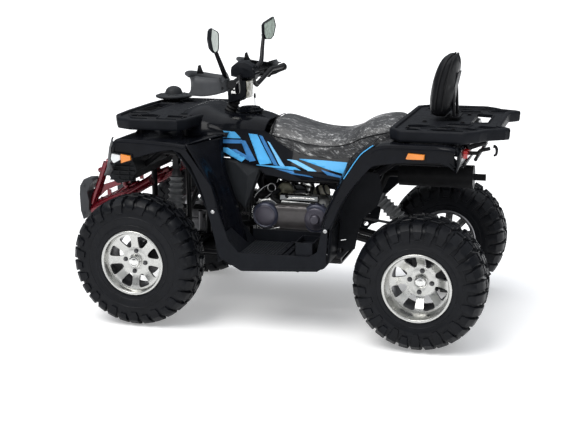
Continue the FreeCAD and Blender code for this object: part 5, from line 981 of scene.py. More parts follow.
liner("rear_liner", [(-776, 760), (-715, 796), (-600, 806), (-500, 800), (-420, 760), (-350, 680), (-302, 600),
                     (-262, 500), (-250, 430)], (430, 360, 300, 262), 3)
sheet([[(x, y, z - 6 * (abs(y) / 420) ** 2) for y in (-424, -300, -150, 0, 150, 300, 424)]
       for x, z in ((-776, 838), (-782, 806), (-782, 770), (-776, 742))], "tail_panel", "black_gloss", "gloss", 5,
      mirror=False)

# the black inner panels before the rear wheels, each with a slot and a hole, and the flaps beside them
GUARD_EDGE = [(-240, 322, 10), (-268, 306, 20), (-318, 318, 24), (-334, 352, 20), (-346, 420, 30), (-368, 486, 30),
              (-430, 545, 30), (-452, 610, 20), (-446, 700, 14), (-330, 700, 14), (-262, 560, 30)]
shell("splash_guard", rounded(GUARD_EDGE, 10, 5), lambda x, z: (x, 252 + 6 * soft((z - 500) / 150), z), 4,
      "dark_plastic", "plastic", cell=30, mirror=True,
      holes=[rounded([(-262, 378), (-300, 384), (-300, 396), (-262, 390)], 6, 4),
             [(-274 + 12 * c, 340 + 11 * s) for c, s in circle(18, 1)]])
sheet([[(p.x, y, p.z) for y in (430, 372, 310, 254)]
       for p in smooth_line([(-222, 0, 300), (-250, 0, 318), (-262, 0, 400), (-268, 0, 474)], 4)], "rear_flap",
      "dark_plastic", "plastic", 3.5)


# seat: left halves in (y, z) at each x, from the front to the back

SEAT_SECTIONS = [
    (84, [(0, 864), (60, 860), (112, 838), (140, 806), (150, 772), (150, 752)]),
    (66, [(0, 879), (66, 874), (122, 850), (154, 812), (166, 768), (164, 742)]),
    (30, [(0, 878), (70, 874), (130, 848), (164, 806), (178, 756), (176, 726)]),
    (-30, [(0, 862), (74, 858), (136, 834), (168, 796), (180, 748), (178, 722)]),
    (-100, [(0, 840), (78, 837), (142, 816), (172, 782), (182, 738), (180, 716)]),
    (-170, [(0, 828), (82, 826), (148, 808), (176, 776), (186, 734), (184, 712)]),
    (-240, [(0, 827), (86, 826), (154, 812), (182, 780), (192, 738), (190, 714)]),
    (-300, [(0, 842), (90, 842), (160, 830), (188, 796), (198, 750), (196, 722)]),
    (-330, [(0, 862), (94, 862), (164, 850), (192, 812), (202, 764), (200, 736)]),
    (-380, [(0, 884), (98, 883), (166, 868), (194, 830), (202, 782), (200, 754)]),
    (-440, [(0, 898), (98, 896), (162, 880), (190, 844), (198, 800), (196, 774)]),
    (-480, [(0, 900), (94, 897), (152, 880), (178, 850), (186, 812), (184, 790)]),
    (-498, [(0, 890), (84, 886), (136, 870), (160, 846), (168, 816), (166, 796)]),
]


def inflate(ob, pressure, cap, frames, voxel, holds):
    """Puffs a closed piece up with a cloth simulation, then keeps each point's move within the cap."""
    remesh = ob.modifiers.new("remesh", "REMESH")
    remesh.mode, remesh.voxel_size = "VOXEL", voxel
    dg = bpy.context.evaluated_depsgraph_get()
    me = bpy.data.meshes.new_from_object(ob.evaluated_get(dg))
    ob.modifiers.remove(remesh)
    for kept in ob.data.materials:
        if kept.name not in me.materials:
            me.materials.append(kept)
    ob.data = me
    rest = [v.co.copy() for v in me.vertices]
    group = ob.vertex_groups.new(name="held")
    group.add([v.index for v in me.vertices if holds(v.co)], 1.0, "REPLACE")
    cloth = ob.modifiers.new("cloth", "CLOTH")
    cloth.settings.vertex_group_mass = "held"
    cloth.settings.use_pressure = True
    cloth.settings.uniform_pressure_force = pressure
    cloth.settings.effector_weights.gravity = 0
    cloth.settings.tension_stiffness = cloth.settings.compression_stiffness = 12
    cloth.settings.quality = 4
    cloth.point_cache.frame_start, cloth.point_cache.frame_end = 1, frames
    for f in range(1, frames + 1):
        scene.frame_set(f)
    dg = bpy.context.evaluated_depsgraph_get()
    puffed = bpy.data.meshes.new_from_object(ob.evaluated_get(dg))
    ob.modifiers.remove(cloth)
    ob.vertex_groups.clear()
    for v, p, start in zip(me.vertices, puffed.vertices, rest):
        move = p.co - start
        if move.length > cap:
            move *= cap / move.length
        v.co = start + move
    bpy.data.meshes.remove(puffed)
    scene.frame_set(1)
    bm = bmesh.new()
    bm.from_mesh(me)
    for _ in range(2):
        bmesh.ops.smooth_vert(bm, verts=bm.verts, factor=0.5, use_axis_x=True, use_axis_y=True, use_axis_z=True)
    bm.to_mesh(me)
    bm.free()
    me.shade_smooth()


def narrowed(bm, share):
    for v in bm.verts:
        v.co.y *= share
    return bm


def seat():
    rows = []
    for x, half in SEAT_SECTIONS:
        line = smooth_line([(x, y, z) for y, z in half], 4)
        rows.append(both_halves([*line, Vector((x, half[-1][0] * 0.96, half[-1][1] - 6))]))
    bm = narrowed(loft(smooth_grid(rows, 5), closed=True, cap=True), 0.985)
    ob = piece(bm, "saddle", "chassis", "seat_vinyl", "seat_film_painted_sheen", "seat", angle=60)
    inflate(ob, 3.0, 0.005, 16, 0.007, lambda co: co.z < 0.735 or abs(co.y) > 0.178)
    bm = bmesh.new()
    for share, r in ((0.62, 2.2), (0.985, 3.2)):
        for side in SIDES:
            line = []
            for x, half in SEAT_SECTIONS[1:-1]:
                path = smooth_line([(0, y, z) for y, z in half], 8)
                p = path[int(share * (len(path) - 1))]
                line.append((x, side * (p.y * 0.985 + 1.2), p.z + 1.2))
            sweep_tube(bm, smooth_line(line, 6), r, 8)
    x, half = SEAT_SECTIONS[1]
    row = [(x - 1, y * 0.985 + 0.5, z + 1.5) for y, z in half[:-1]]
    sweep_tube(bm, smooth_line(both_halves(row), 6), 2.4, 8)
    piece(bm, "saddle_seams", "chassis", "seat_vinyl", "rubber", angle=60)


seat()


# backrest

def backrest():
    """A padded back, narrower at the top, that leans back with the rack."""
    spine = [(-650, 912, 108, 34), (-654, 940, 118, 42), (-660, 990, 121, 45), (-668, 1050, 119, 44),
             (-680, 1105, 110, 40), (-694, 1145, 92, 32), (-704, 1164, 66, 20)]
    lean = Vector((-0.22, 0, 1)).normalized()
    out = Vector((lean.z, 0, -lean.x))
    rows = []
    for x, z, half, deep in spine:
        rows.append([Vector((x, 0, z)) + out * (math.copysign(abs(s) ** 0.75, s) * deep)
                     + Vector((0, math.copysign(abs(c) ** 0.55, c) * half, 0)) for c, s in circle(28, 1)])
    bm = narrowed(loft(smooth_grid(rows, 5), closed=True, cap=True), 0.97)
    ob = piece(bm, "backrest", "chassis", "pad_vinyl", "pad", "backrest_pad", angle=70)
    inflate(ob, 4.0, 0.007, 20, 0.006, lambda co: co.x < -0.725 and co.z < 1.12)
    bm = bmesh.new()
    for shift in (0.30, -0.42):
        left = smooth_line([Vector((x, half * 0.985, z)) + out * deep * shift for x, z, half, deep in spine[1:]], 6)
        top = Vector((-712, 0, 1171)) + out * 12 * shift
        sweep_tube(bm, [*left, top, *sided(left[::-1], -1)], 3.0, 8)
    piece(bm, "backrest_piping", "chassis", "pad_vinyl", "rubber", angle=60)
    bm = prism(None, rounded([(-92, 925, 20), (92, 925, 20), (84, 1120, 30), (-84, 1120, 30)], 20, 5), 0, 8, "YZ")
    for v in bm.verts:
        v.co.x = v.co.x - 692 - (v.co.z - 925) * 0.22
    piece(bm, "backrest_plate", "chassis", "frame_black", "plastic", angle=40, bevel=2)


backrest()


# racks

RACK_LOW, RACK_TOP, RACK_DECK = 852, 900, 891


def inset_loop(points, d):
    """A closed outline moved inwards by d (its points run anticlockwise)."""
    out = []
    for k in range(len(points)):
        a, b, c = (Vector(points[(k + j) % len(points)][:2]) for j in (-1, 0, 1))
        e1, e2 = b - a, c - b
        if min(e1.length, e2.length) < 1e-6:
            out.append(tuple(b))
            continue
        n1, n2 = (Vector((-e.y, e.x)).normalized() for e in (e1, e2))
        m = n1 if (n1 + n2).length < 1e-6 else n1 + n2
        m.normalize()
        out.append(tuple(b + m * (d / max(0.35, m.dot(n1)))))
    return out


def anticlockwise(points):
    area = sum(a[0] * b[1] - b[0] * a[1] for a, b in zip(points, [*points[1:], points[0]]))
    return points if area > 0 else points[::-1]


def flipped(points):
    return [(p[0], -p[1], *p[2:]) for p in points]


def rack(name, half_edge, windows, middle, node):
    """A moulded carrier: a deep rounded rim, a sunk deck with openings, and raised ribs beside them."""
    edge = anticlockwise(rounded(half_edge + flipped(half_edge[::-1]), 20, 6))
    holes = [rounded(w, 7, 4) for w in windows + [flipped(w) for w in windows]] + [rounded(middle, 9, 4)]

    def ring(loop, z):
        return [(x, y, z - 5 * (y / 400) ** 2) for x, y in loop]

    shell(name + "_deck", inset_loop(edge, 18), lambda x, y: ring([(x, y)], RACK_DECK)[0], 8,
          "dark_plastic", "plastic", holes=holes, cell=0, bevel=1.6, replaces=node)
    profile = [(24, RACK_DECK - 8), (23, RACK_TOP - 5), (20, RACK_TOP - 1), (14, RACK_TOP), (5, RACK_TOP - 1),
               (1.2, RACK_TOP - 5), (0, RACK_TOP - 12), (2.0, RACK_LOW + 10), (3.5, RACK_LOW + 3), (7, RACK_LOW),
               (13, RACK_LOW), (15, RACK_LOW + 3), (15, RACK_TOP - 20)]
    piece(loft([ring(inset_loop(edge, inset), z) for inset, z in profile], closed=True), name + "_rim", "chassis",
          "dark_plastic", "plastic", angle=42)
    bm = bmesh.new()
    for hole in holes:
        loft([ring(inset_loop(anticlockwise(hole), inset), RACK_DECK + h)
              for inset, h in ((-9, 0.0), (-5, 5.0), (-1, 5.0), (-1, -9.0))], closed=True, bm=bm)
    piece(bm, name + "_ribs", "chassis", "dark_plastic", "plastic", angle=40)


rack("front_carrier", [(362, 150, 18), (382, 262, 30), (396, 330, 18), (409, 380, 16), (640, 374, 40), (712, 340, 26),
                       (752, 262, 26), (758, 120, 60)],
     [[(432, 344), (530, 344), (546, 306), (440, 306)], [(564, 344), (644, 342), (674, 306), (578, 306)],
      [(430, 282), (506, 282), (524, 216), (428, 226)], [(546, 282), (660, 282), (704, 240), (600, 208), (560, 216)],
      [(424, 196), (482, 196), (486, 152), (420, 152)], [(626, 186), (716, 214), (722, 172), (640, 160)]],
     [(640, -120), (716, -136), (722, 136), (640, 120)], "front_rack")
rack("rear_carrier", [(-492, 344, 26), (-542, 402, 26), (-806, 402, 26), (-858, 352, 20), (-884, 312, 10),
                      (-966, 286, 16), (-969, 252, 14), (-928, 204, 14), (-926, 120, 20)],
     [[(-560, 370), (-640, 370), (-602, 322), (-556, 322)],
      [(-672, 370), (-786, 370), (-806, 350), (-706, 322), (-640, 322)],
      [(-552, 296), (-612, 296), (-674, 252), (-600, 226), (-548, 236)],
      [(-664, 298), (-716, 296), (-776, 250), (-716, 250)],
      [(-822, 334), (-842, 318), (-856, 300), (-800, 262), (-752, 296)],
      [(-826, 250), (-868, 282), (-936, 262), (-904, 226), (-846, 196)],
      [(-700, 222), (-800, 222), (-812, 168), (-712, 168)]],
     [(-790, -140), (-870, -116), (-870, 116), (-790, 140)], "rear_rack")


def rack_fittings():
    """The posts under the racks, the cap holder on the front one, and the bar and the hook at the tail."""
    bm = bmesh.new()
    up = (0, 0, 1)
    for side in SIDES:
        for x in (430, 640):
            bar(bm, (x, 250 * side, 812), (x + 6, 254 * side, 884), 13, 14)
            bolt(bm, (x + 4, 248 * side, 891), up, 7, 5)
        for x in (-560, -745):
            bar(bm, (x, 300 * side, 836), (x, 300 * side, 884), 13, 14)
            bolt(bm, (x, 300 * side, 891), up, 7, 5)
        for x in (-600, -760):
            bolt(bm, (x, 118 * side, 892), up, 8, 5)
    piece(bm, "rack_posts", "chassis", "dark_plastic", "frame")
    bm = bmesh.new()
    spin([(0, 893), (26, 893), (28, 900), (24, 912), (40, 913), (78, 909), (86, 912), (89, 917), (87, 922), (78, 925),
          (52, 927), (44, 929), (41, 938), (36, 950), (26, 959), (13, 964), (0, 966)], (684, -255, 0), "Z", 64, bm=bm)
    for x, y in circle(12, 66, (684, -255)):
        spin([(4.2, 0), (4, 2.2), (2.6, 3), (0, 3)], (x, y, 925.5), "Z", 10, bm=bm)
    piece(bm, "cap_holder", "chassis", "dark_plastic", "grey_plastic", angle=34)
    half = [(-781, 200, 840.7), (-806, 200, 840.7), (-892, 200, 800.7)]
    bm = sweep_tube(None, bend_points(half + sided(half[::-1], -1), 40, 8), 11, 16)
    low = bend_points([(-770, 208, 818), (-796, 208, 800), (-828, 205, 752), (-868, 204, 770), (-886, 203, 802)], 30, 6)
    for side in SIDES:
        sweep_tube(bm, sided(low, side), 8, 12)
    sweep_tube(bm, [(-828, -205, 754), (-828, 205, 754)], 8, 12)
    piece(bm, "tail_bar", "chassis", "frame_black", "frame", "grab_bar", angle=50)
    hook = smooth_line([(-893, 150, 803), (-903, 150, 800), (-908, 150, 786), (-905, 150, 768), (-896, 150, 764)], 5)
    piece(sweep_tube(None, hook, lambda t: 7.5 - 3 * t, 10), "tail_hook", "chassis", "frame_black", "frame", angle=50)


rack_fittings()


# nose, lamps, bumper

LAMP_AT = (120, 716)  # (y, z) of the left lamp


def nose():
    """The grille cowl: a rounded centre, faceted cheeks and a round hole for each lamp."""
    edge = [(-302, 800, 16), (-262, 842, 20), (-150, 862, 60), (150, 862, 60), (262, 842, 20), (302, 800, 16),
            (296, 716, 16), (250, 640, 14), (200, 588, 14), (90, 576, 30), (-90, 576, 30), (-200, 588, 14),
            (-250, 640, 14), (-296, 716, 16)]
    holes = [circle(36, 50, (side * LAMP_AT[0], LAMP_AT[1]))[::-1] for side in SIDES]
    for k in range(4):
        z, w = 626 + 17 * k, 66 + 7 * k
        holes.append(rounded([(-w, z), (w, z), (w + 5, z + 8), (-w - 5, z + 8)], 3, 3))
    bm = flat_sheet(rounded(edge, 10, 5), holes, cell=17)
    for v in bm.verts:
        y, z, _ = v.co
        x = 716 + 124 * soft((800 - z) / 210) - 0.00052 * y * y
        x += 20 * soft((z - 590) / 60) * soft((700 - z) / 90) - max(0, z - 780) * 0.55
        x -= 7 * soft((66 - min(math.dist((abs(y), z), LAMP_AT), 66)) / 16)
        v.co = x, y, z
    piece(bm, "nose_cowl", "chassis", "dark_plastic", "grey_plastic", "nose_fascia", angle=40, bevel=1.6, thick=5,
          offset=-1)
    bm = bmesh.new()
    for side in SIDES:
        rows = []
        for a, b in (((742, 318, 806), (690, 430, 804)), ((762, 312, 762), (700, 430, 758)),
                     ((776, 302, 712), (708, 426, 706)), ((794, 284, 660), (730, 356, 668)),
                     ((824, 256, 615), (776, 300, 626))):
            rows.append([(mix(a[0], b[0], t) + 7 * math.sin(math.pi * t), side * mix(a[1], b[1], t),
                          mix(a[2], b[2], t)) for t in (0, 0.25, 0.5, 0.75, 1)])
        loft(rows, bm=bm)
    piece(bm, "nose_cheeks", "chassis", "dark_plastic", "grey_plastic", angle=30, thick=5, bevel=1.2)
    bm = prism(None, rounded([(770, 700), (818, 640), (812, 600), (770, 578), (700, 586), (672, 640), (690, 708)],
                             8, 4), -236, 236)
    for side in SIDES:
        y = 238 * side
        for z in range(596, 681, 21):
            bar(bm, (684, y, z), (806, y, z), 3.2, 8)
        for x in (712, 760):
            bar(bm, (x, y, 590), (x - 6, y, 696), 2.6, 8)
    piece(bm, "nose_back", "chassis", "dark_plastic", "grey_plastic", bevel=2)


nose()


def plates(outline, low, high, taper=0.0, bm=None):
    """A plate on either side, from low to high in y."""
    bm = bm or bmesh.new()
    for side in SIDES:
        prism(bm, outline, low * side, high * side, taper=taper)
    return bm


def lamps():
    ahead = (1, 0, 0.06)
    lens, bowl = bmesh.new(), bmesh.new()
    for side in SIDES:
        y, z = LAMP_AT[0] * side, LAMP_AT[1]
        spin([(0, 12), (26, 9), (40, 2), (44, -4), (44, -12)], (795, y, z), ahead, 40, bm=lens)
        spin([(0, -46), (16, -44), (30, -34), (40, -14), (46, -6), (50, 0), (50, 5), (46, 6), (44, 2)], (790, y, z),
             ahead, 40, bm=bowl)
        spin([(0, -18), (7, -20), (9, -34), (9, -44)], (790, y, z), ahead, 20, bm=bowl)
    piece(lens, "lamp_lens", "chassis", "lamp_clear", "clear", "headlamps", angle=50)
    piece(bowl, "lamp_bowl", "chassis", "lamp_clear", "reflector", angle=50)
    front = rounded([(696, 760, 6), (602, 752, 5), (600, 726, 5), (684, 714, 8), (702, 730, 6)], 5, 4)
    for tone, nodes, part in (("clear", (), [(max(u, 652), v) for u, v in front]),
                              ("amber", "indicators", [(min(u, 650), v) for u, v in front])):
        clean = part[:1]
        for p in part[1:]:
            if math.dist(p, clean[-1]) > 0.3:
                clean.append(p)
        piece(plates(clean, 441.5, 451, 0.05), "front_signal_" + tone, "chassis", "lamp_amber", tone, nodes,
              bevel=1.6, angle=40, segments=3)
    base = rounded([(702, 766, 6), (596, 758, 5), (594, 720, 5), (688, 708, 8), (710, 728, 6)], 5, 4)
    bm = plates(rounded(rect(-664, 778, -574, 818), 8, 4), 438, 442, bm=plates(base, 438, 442))
    piece(bm, "signal_base", "chassis", "dark_plastic", "plastic", bevel=1.2, angle=40)
    rear = rounded([(-658, 784), (-660, 812), (-586, 816), (-580, 790), (-584, 783)], 5, 4)
    piece(plates(rear, 441.5, 452, 0.05), "rear_signal_lens", "chassis", "lamp_amber", "amber", bevel=1.6,
          angle=40, segments=3)
    bm = bmesh.new()
    for side in SIDES:
        tail = [(150 * side, 758, 5), (280 * side, 764, 5), (280 * side, 806, 8), (150 * side, 800, 5)]
        prism(bm, rounded(tail, 6, 4), -786, -802, "YZ", 0.06)
    piece(bm, "tail_lens", "chassis", "lamp_red", "tail", "tail_lamps", bevel=1.5, angle=40, segments=3)


lamps()


def bumper():
    """Red side loops and cross bars, dark moulded caps over their fronts."""
    tubes = [(bend_points([(620, 200, 593), (755, 200, 557), (845, 200, 521), (920, 200, 440)], 40, 9), 23, 22),
             (bend_points([(916, 200, 470), (910, 200, 588), (836, 200, 665)], 40, 9), 17, 22),
             (bend_points([(836, 200, 665), (806, 196, 694), (782, 190, 702)], 30, 8), 17, 22),
             ([(752, 196, 562), (758, 190, 630), (752, 180, 690)], 10, 14),
             (bend_points([(690, 176, 574), (760, 176, 546), (850, 176, 512), (884, 176, 486)], 30, 6), 12, 16)]
    bm = bmesh.new()
    for side in SIDES:
        for line, r, n in tubes:
            sweep_tube(bm, sided(line, side), r, n)
        bar(bm, (745, 140 * side, 557), (745, 200 * side, 557), 10, 14)
        bar(bm, (752, 80 * side, 405), (882, 80 * side, 480), 10, 14)
    plates(rounded([(760, 566), (850, 532), (916, 462), (912, 520), (862, 560), (790, 590)], 6, 3), 190, 196, bm=bm)
    for x, z in ((755, 557), (838, 524)):
        plates(rounded(rect(x - 14, z - 16, x + 14, z + 16), 5, 3), 185, 181, bm=bm)
    bar(bm, (882.5, -200, 480.5), (882.5, 200, 480.5), 12, 18)
    bar(bm, (872, -200, 626.8), (872, 200, 626.8), 12, 18)
    piece(bm, "bumper_tubes", "chassis", "bumper_red", "red", "front_bumper", angle=50)
    outline = rounded([(882, 580, 8), (898, 604, 10), (940, 588, 14), (960, 556, 12), (964, 516, 14), (962, 440, 14),
                       (954, 392, 6), (934, 400, 8), (922, 440, 12), (918, 486, 16), (926, 528, 12), (908, 562, 8)],
                      8, 5)
    bm = plates(outline, 164, 235)
    for side in SIDES:
        for x, z in ((940, 560), (948, 430)):
            bolt(bm, (x, 236 * side, z), (0, side, 0), 5.5, 3, hexed=False)
    piece(bm, "bumper_ends", "chassis", "dark_plastic", "cap_plastic", "bumper_caps", bevel=6, segments=3)


bumper()


# handlebar and what it carries

BAR_HALF = [(262, 61.6, 1012), (253.9, 138.6, 1027.6), (219.6, 269.5, 1033.8), (161, 385, 1058.8)]


def ribbed_grip(bm, start, end, radius):
    run = end - start
    prof = [(0, 0), (radius + 5, 0), (radius + 6, 3), (radius + 4, 6), (radius, 8)]
    at = 12
    while at < run.length - 12:
        prof += [(radius - 0.9, at), (radius + 1.3, at + 1.5), (radius + 1.3, at + 5.5), (radius - 0.9, at + 7)]
        at += 9
    prof += [(radius, run.length - 8), (radius + 1.5, run.length - 4), (radius - 1, run.length - 0.5),
             (radius - 8, run.length), (radius - 9, run.length - 2), (0, run.length - 2)]
    spin(prof, start, run, 28, bm=bm)


def handlebar():
    line = sided(BAR_HALF[::-1], -1) + BAR_HALF
    piece(sweep_tube(None, bend_points(line, 45, 8), 11, 16), "bar_tube", "steering", "bar_steel", "frame",
          "handlebar", angle=50)
    bm = bmesh.new()
    for side in SIDES:
        a, b = (Vector(p) for p in sided(BAR_HALF[2:], side))
        ribbed_grip(bm, a.lerp(b, 0.08), b, 16.8)
    piece(bm, "bar_grips", "steering", "rubber_black", "rubber", "grips", angle=30)
    bm = bmesh.new()
    for y in (-44, 44):
        prism(bm, rounded(rect(240, 988, 284, 1030), 8, 4), y - 11, y + 11)
        for x in (251, 273):
            bolt(bm, (x, y, 1031), (0, 0, 1), 5, 6, washer=False, hexed=False)
    plate = rounded([(236, -62, 10), (290, -62, 10), (300, 0, 30), (290, 62, 10), (236, 62, 10), (228, 0, 30)], 10, 4)
    prism(bm, plate, 976, 988, "XY")
    piece(bm, "bar_clamps", "steering", "steel", "polished", angle=40, bevel=1.4)


handlebar()


def guards():
    """A bent guard before each grip, its upper edge folded in, on an arm from the bar."""
    plan = [(196, 352, 1010, 1052), (232, 376, 994, 1052), (288, 393, 984, 1054), (338, 391, 984, 1060),
            (362, 372, 988, 1070), (368, 340, 994, 1076), (364, 300, 1004, 1074), (346, 268, 1012, 1066),
            (306, 250, 1018, 1056), (266, 244, 1022, 1050)]
    line = smooth_line([(x, y, 0) for x, y, _, _ in plan], 5)
    edges = smooth_line([(0, p[2], p[3]) for p in plan], 5)
    rows = []
    for k, (p, edge) in enumerate(zip(line, edges)):
        run = (line[min(k + 1, len(line) - 1)] - line[max(k - 1, 0)]).normalized()
        out = Vector((run.y, -run.x, 0))
        if out.dot(Vector((1, 0.5, 0))) < 0 and k < len(line) / 3:
            out = -out
        rows.append([Vector((p.x - 10, p.y, mix(edge.y + 22, edge.z + 26, share))) + out * push for share, push in (
            (0, -7), (0.06, -1), (0.2, 3), (0.45, 5), (0.7, 3.5), (0.86, -1), (0.97, -10), (1.0, -22))])
    piece(mirror_y(loft(rows)), "guard_plates", "steering", "dark_plastic", "cap_plastic", "hand_guards", angle=50,
          thick=4.5, bevel=1.2)
    fin = rounded([(300, 1088, 4), (338, 1088, 4), (330, 1126, 3), (318, 1132, 3)], 3, 3)
    bm = mirror_y(prism(None, [(x + 8, z) for x, z in fin], 312, 318))
    for side in SIDES:
        bolt(bm, (214, 368 * side, 1036), (-0.45, 0.9 * side, 0), 6, 3.5, hexed=False)
        bar(bm, (226, 262 * side, 1032), (272, 243 * side, 1036), 8, 12)
    piece(bm, "guard_fittings", "steering", "dark_plastic", "frame", angle=40)


guards()


def mirrors():
    bodies, glasses, stems = bmesh.new(), bmesh.new(), bmesh.new()
    for side in SIDES:
        centre = Vector((240, 385 * side, 1238))
        facing = Vector((-0.99, -0.115 * side, 0.02)).normalized()
        across = facing.cross(Vector((0, 0, 1))).normalized()
        up = across.cross(facing).normalized()
        shape = rounded([(-70, 20, 12), (-62, 42, 12), (48, 52, 12), (70, 44, 12), (72, 6, 20), (44, -40, 16),
                         (8, -54, 12), (-50, -50, 12), (-70, -26, 12)], 12, 5)
        if side < 0:
            shape = [(-u, v) for u, v in shape][::-1]

        def rows(steps):
            return [[centre + across * u * scale + up * v * scale + facing * deep for u, v in shape]
                    for scale, deep in steps]

        loft(rows([(0.10, -20), (0.45, -18.5), (0.75, -14), (0.92, -7), (1.0, 1), (1.0, 7), (0.97, 9), (0.94, 8.6),
                   (0.93, 6.5)]), closed=True, cap="first", bm=bodies)
        loft(rows([(0.94, 6.8), (0.60, 7.3), (0.25, 7.5)]), closed=True, cap="last", bm=glasses)
        foot = Vector((250, 190 * side, 1034))
        knee = Vector((240, 262 * side, 1092))
        neck = centre - facing * 14 - up * 30 - Vector((0, 40 * side, 0))
        line = [foot, foot.lerp(knee, 0.5) + Vector((0, 0, 10)), knee, knee.lerp(neck, 0.55), neck]
        sweep_tube(stems, smooth_line(line, 8), lambda t: 14 - 6 * t, 14)
        spin([(0, -8), (15, -8), (16, -6), (16, 8), (14, 12), (0, 13)], foot, (0, 0, 1), 20, bm=stems)
        spin([(0, -11), (9, -9), (11, 0), (9, 9), (0, 11)], neck, (0, 0, 1), 18, bm=stems)
    piece(bodies, "mirror_backs", "steering", "mirror_black", "plastic", "mirrors", angle=50)
    piece(glasses, "mirror_glass", "steering", "mirror_black", "mirror", angle=60)
    piece(stems, "mirror_stems", "steering", "mirror_black", "frame", angle=40)


mirrors()


def cluster(sections, name, replaces=(), narrow=1.0):
    """A closed form through sections of left halves."""
    rows = [[(x, y * narrow, z) for x, y, z in sided([(x, *p) for p in half[-2:0:-1]], -1) + [(x, *p) for p in half]]
            for x, half in sections]
    piece(loft(rows, closed=True, cap=True), name, "steering", "dark_plastic", "plastic", replaces, angle=30, bevel=4,
          segments=3)


def pod():
    """The instrument housing on the bar with its hood, the screen it holds and the film round its back."""
    cluster([(176, [(0, 1076), (40, 1074), (50, 1062), (48, 1044), (0, 1040)]),
             (192, [(0, 1102), (46, 1098), (58, 1080), (54, 1048), (0, 1042)]),
             (226, [(0, 1120), (50, 1115), (64, 1090), (58, 1046), (0, 1040)]),
             (262, [(0, 1117), (48, 1112), (62, 1088), (56, 1048), (0, 1042)]),
             (290, [(0, 1096), (36, 1091), (48, 1074), (44, 1052), (0, 1046)])], "dash_housing", "instrument_pod", 0.74)
    bm = prism(None, rounded([(-42, 1052, 8), (42, 1052, 8), (46, 1086, 10), (30, 1096, 10), (-30, 1096, 10),
                              (-46, 1086, 10)], 8, 4), 171, 178, "YZ")
    for v in bm.verts:
        v.co.x += (v.co.z - 1052) * 0.32
    piece(bm, "dash_screen", "steering", "dark_plastic", "gloss", angle=40, bevel=1.5)
    cluster([(216, [(0, 1036), (34, 1032), (46, 1004), (38, 968), (0, 960)]),
             (236, [(0, 1040), (40, 1036), (56, 1004), (46, 952), (0, 944)]),
             (286, [(0, 1030), (38, 1024), (52, 990), (40, 934), (0, 926)]),
             (306, [(0, 1008), (26, 1004), (36, 976), (28, 930), (0, 926)])], "stem_cover")
    rows = []
    for i in range(9):
        z = 956 + i * 9.5
        row = []
        for k in range(13):
            y = mix(-46, 46, k / 12)
            bulge = 1 - (abs(y) / 60) ** 2.4
            wave = noise.noise(Vector((y * 0.05, z * 0.06, 3.1))) * 5
            row.append((214 - 9 * bulge - wave + abs(i - 4) * 0.9, y, z))
        rows.append(row)
    piece(loft(rows), "dash_film", "steering", "rubber_black", "cream", angle=60, thick=2.0, subsurf=1)
    bm = bmesh.new()
    for side in SIDES:
        spin([(0, -17), (17, -17), (19, -14), (19, 14), (17, 17), (0, 17)], (251, 165 * side, 1029),
             (-0.2, side, 0.05), 20, bm=bm)
        lever = [(262, 196, 1024), (286, 214, 1026), (284, 268, 1034), (248, 344, 1046), (240, 356, 1048)]
        sweep_tube(bm, smooth_line(sided(lever, side), 6), lambda t: 6.5 - 1.5 * t, 10)
        spin([(0, -9), (10, -9), (11, -6), (11, 8), (0, 10)], (262, 196 * side, 1026), "Z", 16, bm=bm)
    plates(rounded(rect(226, 1010, 268, 1052), 9, 4), 150, 190, bm=bm)
    prism(bm, rounded(rect(232, 1052, 268, 1076), 7, 4), -200, -158)
    piece(bm, "bar_controls", "steering", "dark_plastic", "rubber", "controls", bevel=1.5)


pod()


def column_boot():
    foot, top = Vector((318, 0, 868)), Vector((262, 0, 976))
    run = top - foot
    prof = []
    for t in (k / 8 for k in range(9)):
        prof += [(30 - 7 * t, run.length * t), (25 - 6 * t, run.length * (t + 0.055))]
    piece(spin(prof, foot, run, 28), "column_boot", "steering", "rubber_black", "rubber", angle=40)


column_boot()


def filler():
    """The fuel cap on its ribbed ring, with the vent that stands up from it."""
    bm = spin([(0, 893), (60, 893), (63, 896), (62, 901), (56, 903), (50, 901), (46, 901), (45, 904), (44, 912),
               (40, 914.5), (30, 915), (27, 912.5), (12, 912.5), (9, 915), (0, 915.5)], (211, 0, 0), "Z", 56)
    for x, y in circle(18, 44.5, (211, 0)):
        spin([(0, -5), (2.6, -5), (2.6, 5), (0, 5)], (x, y, 907), "Z", 8, bm=bm)
    piece(bm, "filler_cap", "chassis", "dark_plastic", "gloss", "fuel_cap")
    bm = bar(None, (186, 6, 910), (186, 8, 958), 1.8, 8)
    spin([(0, -2), (4, -1), (5, 3), (5, 12), (3.5, 15), (5, 17), (3, 20), (0, 20)], (186, 8, 955), "Z", 14, bm=bm)
    piece(bm, "filler_vent", "chassis", "dark_plastic", "rubber")


filler()


# engine unit, seen from both sides and from below

CRANK, CLUTCH = (85, 460), (-142, 455)  # the belt drums' centres, in (x, z)
LEFT, RIGHT = (0, 1, 0), (0, -1, 0)


def discs_outline(first, first_r, second, second_r, n=16):
    """The outline round two discs in line, in (x, z)."""
    a, b = Vector(first), Vector(second)
    run = a - b
    lean = math.atan2(run.y, run.x)
    spread = math.acos((second_r - first_r) / run.length)
    out = []
    for k in range(n + 1):
        t = lean + mix(-spread, spread, k / n)
        out.append((a.x + first_r * math.cos(t), a.y + first_r * math.sin(t)))
    for k in range(n + 1):
        t = lean + mix(spread, math.tau - spread, k / n)
        out.append((b.x + second_r * math.cos(t), b.y + second_r * math.sin(t)))
    return out


def boss(bm, at, axis, radius, height, n=14, edge=1):
    """A round boss with its upper edge broken, for a screw."""
    spin([(0, 0), (radius, 0), (radius, height - edge), (radius - edge, height), (0, height)], at, axis, n, bm=bm)


